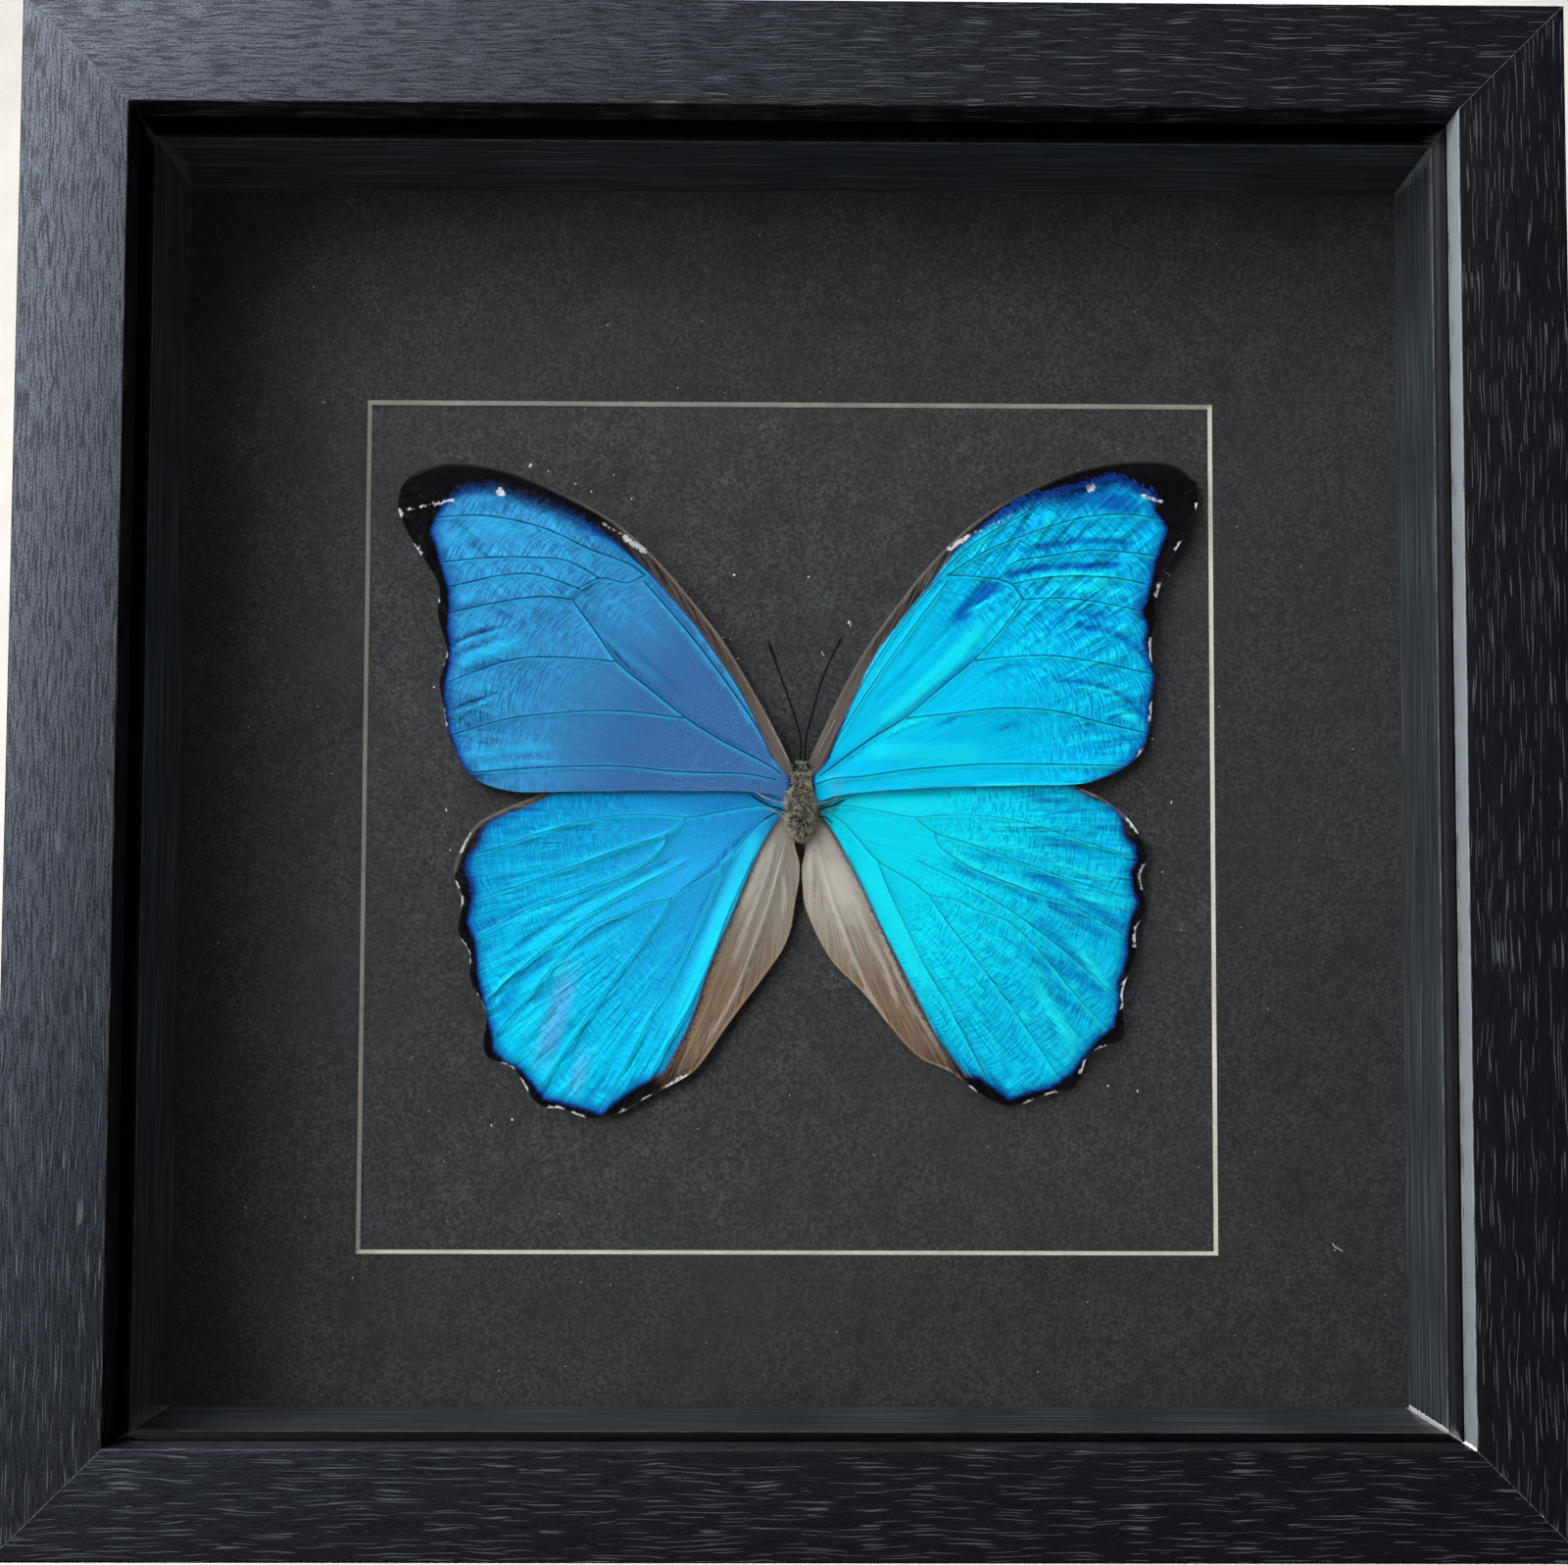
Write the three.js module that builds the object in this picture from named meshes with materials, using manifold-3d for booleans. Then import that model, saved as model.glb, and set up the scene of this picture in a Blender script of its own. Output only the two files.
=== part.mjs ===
// Framed butterfly specimen: a blue morpho with spread wings, glued to a black card
// behind a window mat, in a square black box frame with glass, spacers and a back board.
//
// Millimetres, +Z up, +Y towards the back. The origin is the middle of the footprint,
// on the surface the frame stands on. Left and right are the viewer's.

import * as THREE from 'three';
import { mergeVertices } from 'three/addons/utils/BufferGeometryUtils.js';
import Module from 'manifold-3d';

const wasm = await Module();
wasm.setup();

// ---------------------------------------------------------------- frame sizes
const FRAME_HALF = 125; // half the outer width and height
const SIGHT_HALF = 107.4; // half the opening in front of the glass
const RABBET_HALF = 115; // half the space behind the lip
const RAIL_DEPTH = 45;
const LIP_DEPTH = 4.6;
const OUTER_ARRIS = 1; // rounding of the front edge, outside
const INNER_ARRIS = 0.5; // rounding of the front edge, towards the glass
const ARRIS_STEPS = 4;
const MITRE_GAP = 0.2;

const FIT = 0.3; // clearance around anything laid in the rabbet
const SHEET_HALF = RABBET_HALF - FIT; // glass, mat, card and back board
const REST = 0.2; // clearance between sheets that lie on each other

const GLASS_THICKNESS = 2;
const SPACER_HALF = 107.7; // inner faces of the spacers
const SPACER_DEPTH = 21.4;
const MAT_THICKNESS = 0.6;
const CARD_THICKNESS = 1;
const BOARD_THICKNESS = 3;

// Every depth is measured back from the front face of the rails.
const GLASS_FRONT = LIP_DEPTH + REST;
const SPACER_FRONT = GLASS_FRONT + GLASS_THICKNESS + REST;
const MAT_FRONT = SPACER_FRONT + SPACER_DEPTH + REST;
const CARD_FRONT = MAT_FRONT + MAT_THICKNESS + REST;
const BOARD_FRONT = CARD_FRONT + CARD_THICKNESS + REST;
const BOARD_BACK = BOARD_FRONT + BOARD_THICKNESS;

// The mat's window sits a little left of the middle and 6 mm low. These are its edges
// at the front face, about the middle of the frame; the cut slopes in by BEVEL.
const WINDOW = { left: -75.9, right: 74.7, bottom: -81.5, top: 69.5 };
const BEVEL = 0.6;

// Steel tabs pressed into the rabbet wall hold the back board, two to a side.
const TAB_SPREAD = 60; // from the middle of the rail
const TAB_WIDTH = 10;
const TAB_THICKNESS = 0.5;
const TAB_REACH = 12; // over the board
const TAB_ROOT = 3; // into the wood
const TAB_TURN_UP = 1.2;
const TAB_FRONT = BOARD_BACK + FIT;

// Sawtooth hanger nailed across the back of the top rail.
const HANGER = { length: 46, height: 8, thickness: 0.8, teeth: 9, tooth: 1.6 };
const NAIL = { spread: 19, shank: 0.6, length: 9, head: 1.6, headThickness: 0.6 };
const HANGER_FRONT = RAIL_DEPTH + REST;
const NAIL_HEAD_FRONT = HANGER_FRONT + HANGER.thickness + REST;
const TOTAL_DEPTH = NAIL_HEAD_FRONT + NAIL.headThickness;

// ------------------------------------------------------------- specimen sizes
// Heights of the specimen are measured up from the card, towards the glass.
const WING_THICKNESS = 0.3;
const OUTLINE_STEPS = 110;
const WING_CELL = 4.6; // grid of the gently waved sheet
const ROOT_GAP = 0.3; // between the thorax and a wing cut to fit round it

// Outlines are [across, up] from the middle of the frame, followed from the root along
// the front edge, round the tip, down the scalloped margin and back along the body side.
const WINGS = {
  forewing_left: {
    root: [-1, -1], height: 3.4, droop: 0.5, wave: 0.2, waves: 13,
    outline: [
      [-0.5, 4.6], [-3.6, 11], [-7.1, 17.3], [-12.3, 25.9], [-18.4, 33.8], [-25.5, 41.8],
      [-32.2, 47.5], [-41.9, 52.7], [-51.6, 56.5], [-61.5, 57.7], [-67.5, 55.6],
      [-69.9, 51.7], [-68.8, 46.4], [-65.1, 40.2], [-62.4, 35.3], [-62.6, 30.4],
      [-61.3, 25.7], [-60.9, 23.6], [-62.2, 18.9], [-61.3, 13.6], [-60.9, 11],
      [-59.3, 6.5], [-55.7, 1.6], [-49.7, -0.6], [-38.7, -0.7], [-19.2, -0.5],
      [-3.4, -1.1], [0.2, -3], [0.4, 1.5],
    ],
  },
  forewing_right: {
    root: [3.8, -1], height: 3.4, droop: 0.5, wave: 0.2, waves: 13,
    outline: [
      [2.9, 4.7], [5.7, 11.1], [9.1, 18.2], [13.1, 25.2], [18.1, 32.2], [23.6, 39.2],
      [30.6, 46.2], [38.4, 51.6], [50, 56.7], [58.7, 58.5], [67.3, 58.2], [71.1, 55.4],
      [71.9, 53.3], [70, 46.8], [66.1, 39.8], [64, 33.3], [64, 29.8], [63.1, 26.6],
      [63.1, 23.7], [63.7, 20.2], [63.2, 15.3], [63, 12.4], [61.9, 7.8], [59.1, 4.5],
      [53.3, 1.6], [49.8, 0.9], [41.5, 0.7], [22.6, 0.1], [7.4, -1.4], [2.8, -3],
      [2.5, 1.5],
    ],
  },
  hindwing_left: {
    root: [-1, -6], height: 2.2, droop: 0.5, wave: 0.2, waves: 11,
    outline: [
      [0.4, -4.5], [-10, 3.5], [-24, 6.5], [-36, 4.5], [-43.6, -0.6], [-50.2, -3.5],
      [-55.3, -6.3], [-57.8, -10], [-59.5, -14.8], [-58.1, -19.1], [-58.1, -21],
      [-58.7, -25.2], [-56.6, -28.9], [-56.4, -33.7], [-54.1, -37.9], [-53.5, -40.3],
      [-54, -45.4], [-53.1, -47.4], [-48.8, -49.1], [-45, -54.9], [-43.1, -56],
      [-40.7, -56.1], [-36.4, -57.6], [-34.2, -58], [-29.4, -56.6], [-25.7, -54.4],
      [-17.3, -49.7], [-15.4, -47.5], [-10.8, -40.8], [-4.2, -31.9], [-1.8, -28.4],
      [-0.4, -25], [0.4, -20.3], [1.1, -16.3], [1.2, -12.9], [0.4, -10.1],
    ],
  },
  hindwing_right: {
    root: [3.8, -6], height: 2.2, droop: 0.5, wave: 0.2, waves: 11,
    outline: [
      [2.6, -4.5], [12, 4], [27, 7.5], [40, 6], [50, 0.8], [55.7, -2.1], [59.7, -5.7],
      [62.1, -10.2], [62.4, -12], [61.2, -15.2], [62.4, -20.6], [60.4, -24.6],
      [60.4, -29.6], [58.7, -33.2], [58, -35.6], [58.4, -41.6], [58.1, -43.7],
      [53.3, -45.6], [51.7, -47.1], [50.1, -51.6], [48.8, -52.8], [45.7, -53.2],
      [40.2, -55.2], [37.8, -55.6], [33, -53.5], [27.5, -49.4], [22.1, -46.9],
      [12.3, -35.6], [6.7, -29.8], [2.3, -20.8], [1.8, -17.2], [1.7, -13.7],
      [2.2, -11.1],
    ],
  },
};

// Rounded lumps of the body: centre [across, up], height, half sizes [across, up, high].
const THORAX = { at: [1.4, -4], height: 3, half: [3.1, 5.6, 3] };
const COLLAR = { at: [1.5, 1.4], height: 3, half: [1.9, 1.5, 1.8] };
const HEAD = { at: [1.6, 3.2], height: 3, half: [1.5, 1.6, 1.6] };
const EYES = [
  { at: [0.6, 3.5], height: 3.1, half: [0.7, 0.9, 1] },
  { at: [2.6, 3.5], height: 3.1, half: [0.7, 0.9, 1] },
];
const PALPS = [
  { at: [1.5, 4.8], height: 3.2, half: [0.4, 0.9, 0.4] },
  { at: [2.2, 4.8], height: 3.2, half: [0.4, 0.9, 0.4] },
];
const BROKEN_WAIST = { at: [1.2, -10.4], height: 2.8, half: [1.7, 1.5, 1.6] };
const BODY_FOOT = 0.15; // the thorax is cut flat where it is glued to the card

// Antennae: [across, up, height] from the socket in the head to the tip.
const SHAFT_RADIUS = 0.16;
const CLUB_RADIUS = 0.24;
const CLUB_START = 0.86; // share of the length
const SOCKET_RADIUS = 0.5;
const ANTENNAE = {
  antenna_left: [
    [1.3, 4.7, 4.1], [1.4, 8, 4.4], [0.6, 11.4, 4.6], [-0.5, 14.8, 4.7], [-2.2, 19.5, 4.7],
    [-4.3, 25.6, 4.5],
  ],
  antenna_right: [
    [2, 4.7, 4.1], [2.3, 8.7, 4.4], [3.4, 13.1, 4.6], [4.9, 18.3, 4.7], [6.6, 22.6, 4.7],
    [8.6, 26.5, 4.5],
  ],
};

// ------------------------------------------------------------------ materials
function finish(color, roughness, metalness = 0, opacity = 1) {
  return new THREE.MeshStandardMaterial({
    color, roughness, metalness, opacity, transparent: opacity < 1,
  });
}

const MATERIALS = {
  foil: finish(0x1b1c1e, 0.45),
  glass: finish(0xe8f0f0, 0.03, 0, 0.15),
  spacer: finish(0x121314, 0.5),
  mat: finish(0x232728, 0.9),
  card: finish(0x1d2020, 0.92),
  board: finish(0x7a5a3c, 0.8),
  steel: finish(0x9a9c9e, 0.4, 0.9),
  forewing: finish(0x0c86cc, 0.35),
  hindwing: finish(0x0aa0e6, 0.35),
  fur: finish(0x4f4a3a, 0.95),
  antenna: finish(0x15110f, 0.6),
};

// ------------------------------------------------------------- solid geometry
/** A closed geometry, of any kind, as a solid that can be joined and cut. */
function toSolid(geometry) {
  const bare = geometry.clone();
  bare.deleteAttribute('normal');
  bare.deleteAttribute('uv');
  const merged = mergeVertices(bare);
  return new wasm.Manifold(new wasm.Mesh({
    numProp: 3,
    vertProperties: Float32Array.from(merged.attributes.position.array),
    triVerts: Uint32Array.from(merged.index.array),
  }));
}

/** A solid's surface as geometry. */
function toGeometry(solid) {
  const surface = solid.getMesh();
  const geometry = new THREE.BufferGeometry();
  geometry.setAttribute('position', new THREE.BufferAttribute(surface.vertProperties, 3));
  geometry.setIndex(new THREE.BufferAttribute(surface.triVerts, 1));
  geometry.computeVertexNormals();
  return geometry;
}

/** A box between two corners. */
function boxBetween(low, high) {
  const size = high.map((value, i) => value - low[i]);
  const middle = high.map((value, i) => (value + low[i]) / 2);
  return new THREE.BoxGeometry(...size).translate(...middle);
}

/** An outline in the plane of the card, given depth from y = 0 forwards (-Y). */
function standingExtrude(shape, depth) {
  return new THREE.ExtrudeGeometry(shape, { depth, bevelEnabled: false }).rotateX(Math.PI / 2);
}

// ----------------------------------------------------------- rails and sheets
/** The rail's section: u is the distance from the middle of the frame, v the depth. */
function railSection() {
  const section = new THREE.Shape();
  section.moveTo(SIGHT_HALF, INNER_ARRIS);
  for (let i = 1; i <= ARRIS_STEPS; i += 1) {
    const turn = (Math.PI / 2) * (i / ARRIS_STEPS);
    section.lineTo(
      SIGHT_HALF + INNER_ARRIS * (1 - Math.cos(turn)),
      INNER_ARRIS * (1 - Math.sin(turn)),
    );
  }
  for (let i = 0; i <= ARRIS_STEPS; i += 1) {
    const turn = (Math.PI / 2) * (i / ARRIS_STEPS);
    section.lineTo(
      FRAME_HALF - OUTER_ARRIS * (1 - Math.sin(turn)),
      OUTER_ARRIS * (1 - Math.cos(turn)),
    );
  }
  section.lineTo(FRAME_HALF, RAIL_DEPTH);
  section.lineTo(RABBET_HALF, RAIL_DEPTH);
  section.lineTo(RABBET_HALF, LIP_DEPTH);
  section.lineTo(SIGHT_HALF, LIP_DEPTH);
  return section;
}

function spacerSection() {
  const section = new THREE.Shape();
  section.moveTo(SPACER_HALF, SPACER_FRONT);
  section.lineTo(SHEET_HALF, SPACER_FRONT);
  section.lineTo(SHEET_HALF, SPACER_FRONT + SPACER_DEPTH);
  section.lineTo(SPACER_HALF, SPACER_FRONT + SPACER_DEPTH);
  return section;
}

/** A bottom strip of this section, with both ends mitred at 45 degrees. */
function mitredStrip(section, gap) {
  const geometry = new THREE.ExtrudeGeometry(section, { depth: 2, bevelEnabled: false });
  const position = geometry.attributes.position;
  for (let i = 0; i < position.count; i += 1) {
    const u = position.getX(i);
    const end = position.getZ(i) - 1;
    position.setXYZ(i, end * (u - gap * Math.SQRT1_2), position.getY(i), -u);
  }
  return geometry;
}

/** The bottom rail, with the slots that its two tabs are pressed into. */
function bottomRail() {
  let rail = toSolid(mitredStrip(railSection(), MITRE_GAP));
  for (const side of [-1, 1]) {
    const slot = boxBetween(
      [side * TAB_SPREAD - TAB_WIDTH / 2 - FIT, TAB_FRONT - FIT, -RABBET_HALF - TAB_ROOT - FIT],
      [side * TAB_SPREAD + TAB_WIDTH / 2 + FIT, TAB_FRONT + TAB_THICKNESS + FIT, -RABBET_HALF + 1],
    );
    rail = rail.subtract(toSolid(slot));
  }
  return rail;
}

/** One nail, pointing into the rail from the back, about its own shank. */
function nailSolid(clearance = 0) {
  const shankTop = NAIL_HEAD_FRONT + 0.1;
  const shankEnd = RAIL_DEPTH - NAIL.length - clearance;
  const shank = new THREE.CylinderGeometry(
    NAIL.shank + clearance, NAIL.shank + clearance, shankTop - shankEnd, 12,
  ).translate(0, (shankTop + shankEnd) / 2, 0);
  const head = new THREE.CylinderGeometry(NAIL.head, NAIL.head, NAIL.headThickness, 20)
    .translate(0, NAIL_HEAD_FRONT + NAIL.headThickness / 2, 0);
  return toSolid(shank).add(toSolid(head));
}

function nailPlace(side) {
  return [side * NAIL.spread, 0, (FRAME_HALF + RABBET_HALF) / 2];
}

/** The top rail: the bottom one turned over, bored for the hanger's nails. */
function topRail() {
  let rail = bottomRail().rotate([0, 180, 0]);
  for (const side of [-1, 1]) {
    rail = rail.subtract(nailSolid(FIT).translate(nailPlace(side)));
  }
  return rail;
}

/** A square sheet laid in the rabbet. */
function sheet(front, thickness) {
  return boxBetween(
    [-SHEET_HALF, front, -SHEET_HALF],
    [SHEET_HALF, front + thickness, SHEET_HALF],
  );
}

/** The mat: its window is cut with sloping sides, wider at the front. */
function windowMat() {
  const width = WINDOW.right - WINDOW.left;
  const height = WINDOW.top - WINDOW.bottom;
  const cut = new THREE.BoxGeometry(1, 1, 1);
  const position = cut.attributes.position;
  for (let i = 0; i < position.count; i += 1) {
    // The cut runs one mat thickness past both faces, so the slope is kept outside too.
    const inset = position.getY(i) > 0 ? 2 * BEVEL : -BEVEL;
    position.setXYZ(
      i,
      Math.sign(position.getX(i)) * (width / 2 - inset),
      position.getY(i) > 0 ? 2 * MAT_THICKNESS : -MAT_THICKNESS,
      Math.sign(position.getZ(i)) * (height / 2 - inset),
    );
  }
  cut.translate((WINDOW.left + WINDOW.right) / 2, MAT_FRONT, (WINDOW.bottom + WINDOW.top) / 2);
  return toSolid(sheet(MAT_FRONT, MAT_THICKNESS)).subtract(toSolid(cut));
}

/** A tab on the bottom rail: flat on the board, with its free end turned up. */
function tabGeometry(side) {
  const root = RABBET_HALF + TAB_ROOT;
  const free = RABBET_HALF - TAB_REACH;
  const profile = new THREE.Shape();
  profile.moveTo(root, TAB_FRONT);
  profile.lineTo(root, TAB_FRONT + TAB_THICKNESS);
  profile.lineTo(free + TAB_TURN_UP + TAB_THICKNESS / 2, TAB_FRONT + TAB_THICKNESS);
  profile.lineTo(free, TAB_FRONT + TAB_TURN_UP + TAB_THICKNESS);
  profile.lineTo(free, TAB_FRONT + TAB_TURN_UP);
  profile.lineTo(free + TAB_TURN_UP, TAB_FRONT);
  const geometry = new THREE.ExtrudeGeometry(profile, { depth: TAB_WIDTH, bevelEnabled: false });
  const position = geometry.attributes.position;
  for (let i = 0; i < position.count; i += 1) {
    const along = position.getZ(i) - TAB_WIDTH / 2;
    position.setXYZ(i, side * TAB_SPREAD + along, position.getY(i), -position.getX(i));
  }
  return geometry;
}

/** The hanger's plate: a steel strip with teeth along its lower edge and two nail holes. */
function hangerPlate() {
  const half = HANGER.length / 2;
  const middle = (FRAME_HALF + RABBET_HALF) / 2;
  const low = middle - HANGER.height / 2;
  const toothed = NAIL.spread - NAIL.head - 1;
  const pitch = (2 * toothed) / HANGER.teeth;
  const shape = new THREE.Shape();
  shape.moveTo(-half, low);
  shape.lineTo(-toothed, low);
  for (let i = 0; i < HANGER.teeth; i += 1) {
    shape.lineTo(-toothed + (i + 0.5) * pitch, low + HANGER.tooth);
    shape.lineTo(-toothed + (i + 1) * pitch, low);
  }
  shape.lineTo(half, low);
  shape.lineTo(half, low + HANGER.height);
  shape.lineTo(-half, low + HANGER.height);
  for (const side of [-1, 1]) {
    const hole = new THREE.Path();
    hole.absarc(side * NAIL.spread, middle, NAIL.shank + FIT, 0, 2 * Math.PI, true);
    shape.holes.push(hole);
  }
  const geometry = new THREE.ExtrudeGeometry(shape, {
    depth: HANGER.thickness, bevelEnabled: false, curveSegments: 6,
  });
  return geometry.rotateX(Math.PI / 2).translate(0, HANGER_FRONT + HANGER.thickness, 0);
}

// ------------------------------------------------------------------ butterfly
/** One rounded lump of the body, grown by a clearance; y = 0 is the card, -Y is up from it. */
function lump({ at, height, half }, clearance = 0) {
  const facets = Math.max(...half) > 2 ? 18 : 10;
  const geometry = new THREE.SphereGeometry(1, facets, Math.round(facets * 0.6));
  geometry.scale(half[0] + clearance, half[2] + clearance, half[1] + clearance);
  return toSolid(geometry.translate(at[0], -height, at[1]));
}

/** The wing's height above the card at a place: fluted about its root, drooping outwards. */
function wingHeight({ root, height, droop, wave, waves }, x, z) {
  const across = x - root[0];
  const up = z - root[1];
  const reach = Math.min(1, Math.hypot(across, up) / 70);
  const angle = Math.atan2(up, Math.abs(across));
  return height - droop * reach * reach + wave * Math.min(1, 3 * reach) * Math.cos(waves * angle);
}

/** A wing: a thin waved sheet trimmed to its outline and cut to fit round the thorax. */
function wing(spec) {
  const knots = spec.outline.map(([x, z]) => new THREE.Vector3(x, z, 0));
  const curve = new THREE.CatmullRomCurve3(knots, true, 'centripetal');
  const rim = curve.getSpacedPoints(OUTLINE_STEPS).slice(0, -1);
  const trim = standingExtrude(new THREE.Shape(rim.map(({ x, y }) => new THREE.Vector2(x, y))), 10);

  const box = new THREE.Box3().setFromPoints(knots).expandByScalar(3);
  const size = box.getSize(new THREE.Vector3());
  const centre = box.getCenter(new THREE.Vector3());
  const waved = new THREE.BoxGeometry(
    size.x, WING_THICKNESS, size.y,
    Math.ceil(size.x / WING_CELL), 1, Math.ceil(size.y / WING_CELL),
  ).translate(centre.x, 0, centre.y);
  const position = waved.attributes.position;
  for (let i = 0; i < position.count; i += 1) {
    const height = wingHeight(spec, position.getX(i), position.getZ(i));
    position.setY(i, position.getY(i) - height);
  }
  return toSolid(waved)
    .intersect(toSolid(trim))
    .subtract(lump(THORAX, ROOT_GAP))
    .subtract(lump(COLLAR, ROOT_GAP))
    .subtract(lump(HEAD, ROOT_GAP))
    .subtract(lump(EYES[0], ROOT_GAP))
    .subtract(lump(EYES[1], ROOT_GAP));
}

/** Head and thorax, with the antenna sockets and the hollow where the abdomen broke off. */
function bodySolid() {
  let body = lump(THORAX);
  for (const part of [COLLAR, HEAD, ...EYES, ...PALPS]) {
    body = body.add(lump(part));
  }
  for (const path of Object.values(ANTENNAE)) {
    const [x, z, height] = path[0];
    const socket = new THREE.SphereGeometry(SOCKET_RADIUS, 8, 5).translate(x, -height, z);
    body = body.subtract(toSolid(socket));
  }
  const foot = boxBetween([-20, -BODY_FOOT, -20], [20, 20, 20]);
  return body.subtract(lump(BROKEN_WAIST)).subtract(toSolid(foot));
}

/** A six-sided rod along a curve. */
function rod(curve, radius, steps) {
  const section = new THREE.Shape();
  section.absarc(0, 0, radius, 0, 2 * Math.PI, false);
  return new THREE.ExtrudeGeometry(section, {
    steps, extrudePath: curve, bevelEnabled: false, curveSegments: 3,
  });
}

/** An antenna: a thin shaft ending in a slender club. */
function antenna(path) {
  const knots = path.map(([x, z, height]) => new THREE.Vector3(x, -height, z));
  const curve = new THREE.CatmullRomCurve3(knots, false, 'centripetal');
  const clubKnots = [CLUB_START, (1 + CLUB_START) / 2, 1].map((t) => curve.getPointAt(t));
  const club = new THREE.CatmullRomCurve3(clubKnots, false, 'centripetal');
  return toSolid(rod(curve, SHAFT_RADIUS, 20)).add(toSolid(rod(club, CLUB_RADIUS, 4)));
}

// ------------------------------------------------------------------- assembly
/** Adds one named piece to a group. */
function place(group, name, geometry, material) {
  const mesh = new THREE.Mesh(geometry, material);
  mesh.name = name;
  group.add(mesh);
}

const framedButterfly = new THREE.Group();
framedButterfly.position.set(0, -TOTAL_DEPTH / 2, FRAME_HALF);

place(framedButterfly, 'rail_top', toGeometry(topRail()), MATERIALS.foil);
place(framedButterfly, 'rail_bottom', toGeometry(bottomRail()), MATERIALS.foil);
for (const [side, quarter] of [['left', 1], ['right', -1]]) {
  const rail = bottomRail().rotate([0, 90 * quarter, 0]);
  place(framedButterfly, `rail_${side}`, toGeometry(rail), MATERIALS.foil);
}

place(framedButterfly, 'glass', sheet(GLASS_FRONT, GLASS_THICKNESS), MATERIALS.glass);
for (const [side, turn] of [['top', 180], ['bottom', 0], ['left', 90], ['right', -90]]) {
  const strip = mitredStrip(spacerSection(), FIT).rotateY(THREE.MathUtils.degToRad(turn));
  place(framedButterfly, `spacer_${side}`, strip, MATERIALS.spacer);
}
place(framedButterfly, 'window_mat', toGeometry(windowMat()), MATERIALS.mat);
place(framedButterfly, 'mount_card', sheet(CARD_FRONT, CARD_THICKNESS), MATERIALS.card);
place(framedButterfly, 'back_board', sheet(BOARD_FRONT, BOARD_THICKNESS), MATERIALS.board);

for (const [side, turn] of [['top', 180], ['bottom', 0], ['left', 90], ['right', -90]]) {
  for (const [index, end] of [[1, -1], [2, 1]]) {
    const tab = tabGeometry(end).rotateY(THREE.MathUtils.degToRad(turn));
    place(framedButterfly, `tab_${side}_${index}`, tab, MATERIALS.steel);
  }
}

place(framedButterfly, 'hanger_plate', hangerPlate(), MATERIALS.steel);
for (const [side, sign] of [['left', -1], ['right', 1]]) {
  const nail = nailSolid().translate(nailPlace(sign));
  place(framedButterfly, `hanger_nail_${side}`, toGeometry(nail), MATERIALS.steel);
}

const specimen = new THREE.Group();
specimen.position.y = CARD_FRONT;
framedButterfly.add(specimen);
place(specimen, 'body', toGeometry(bodySolid()), MATERIALS.fur);
for (const [name, path] of Object.entries(ANTENNAE)) {
  place(specimen, name, toGeometry(antenna(path)), MATERIALS.antenna);
}
for (const [name, spec] of Object.entries(WINGS)) {
  const material = name.startsWith('fore') ? MATERIALS.forewing : MATERIALS.hindwing;
  place(specimen, name, toGeometry(wing(spec)), material);
}

export default framedButterfly;
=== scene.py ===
"""Looks of a framed blue morpho butterfly: a mounted specimen in a deep black box frame.

Lengths are millimetres in the tables and metres in the meshes. Up is +Z, the glass faces
-Y, and left and right are the viewer's.
"""

import logging
import math
import random
from dataclasses import dataclass, field
from enum import Enum
from typing import Any, Callable, ClassVar, Sequence

import bpy
import numpy as np
from mathutils import Matrix, Vector
from mathutils.geometry import delaunay_2d_cdt


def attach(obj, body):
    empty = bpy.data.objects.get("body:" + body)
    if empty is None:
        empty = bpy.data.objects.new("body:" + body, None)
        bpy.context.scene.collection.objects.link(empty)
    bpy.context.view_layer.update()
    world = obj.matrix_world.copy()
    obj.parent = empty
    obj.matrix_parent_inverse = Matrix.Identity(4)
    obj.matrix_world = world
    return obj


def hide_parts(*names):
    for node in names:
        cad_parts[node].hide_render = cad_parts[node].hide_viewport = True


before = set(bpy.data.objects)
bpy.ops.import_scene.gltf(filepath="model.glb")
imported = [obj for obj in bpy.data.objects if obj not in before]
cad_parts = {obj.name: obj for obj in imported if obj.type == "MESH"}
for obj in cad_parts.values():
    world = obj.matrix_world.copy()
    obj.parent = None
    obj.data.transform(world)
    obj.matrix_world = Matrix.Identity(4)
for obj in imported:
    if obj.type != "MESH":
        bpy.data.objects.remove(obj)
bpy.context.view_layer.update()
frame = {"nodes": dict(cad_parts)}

logging.basicConfig(level=logging.INFO, format="%(message)s")
LOG = logging.getLogger("specimen")

MM = 0.001
# The frame in mm: half widths from its middle, depths from its front face.
TOTAL_DEPTH = 46.8
FRAME_HALF = 125.0
SIGHT_HALF = 107.4
RABBET_HALF = 115.0
RAIL_DEPTH = 45.0
LIP_DEPTH = 4.6
SPACER_HALF = 107.7
SPACER_FRONT = 7.0
SPACER_BACK = 28.4
EDGE_SHADE = 11.8
# How far off, in mm, a tear or the painted reflection line is kept where there is none.
FAR_OFF = 9.0
SHEET_HALF = 114.7
MAT_FRONT = 28.6
MAT_BACK = 29.2
CARD_FRONT = 29.4
# The mat's window: left, right, bottom and top.
WINDOW = (-75.9, 74.7, -81.5, 69.5)
BEVEL = 0.6
BODY = "root"

Point2 = tuple[float, float]
Point3 = tuple[float, float, float]
Path = Sequence[Point2]
# A traced line: across and up in turn, in mm from the middle of the frame.
Trace = Sequence[float]
# Half width, strength and trace of each band.
Bands = Sequence[tuple[float, ...]]


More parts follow.
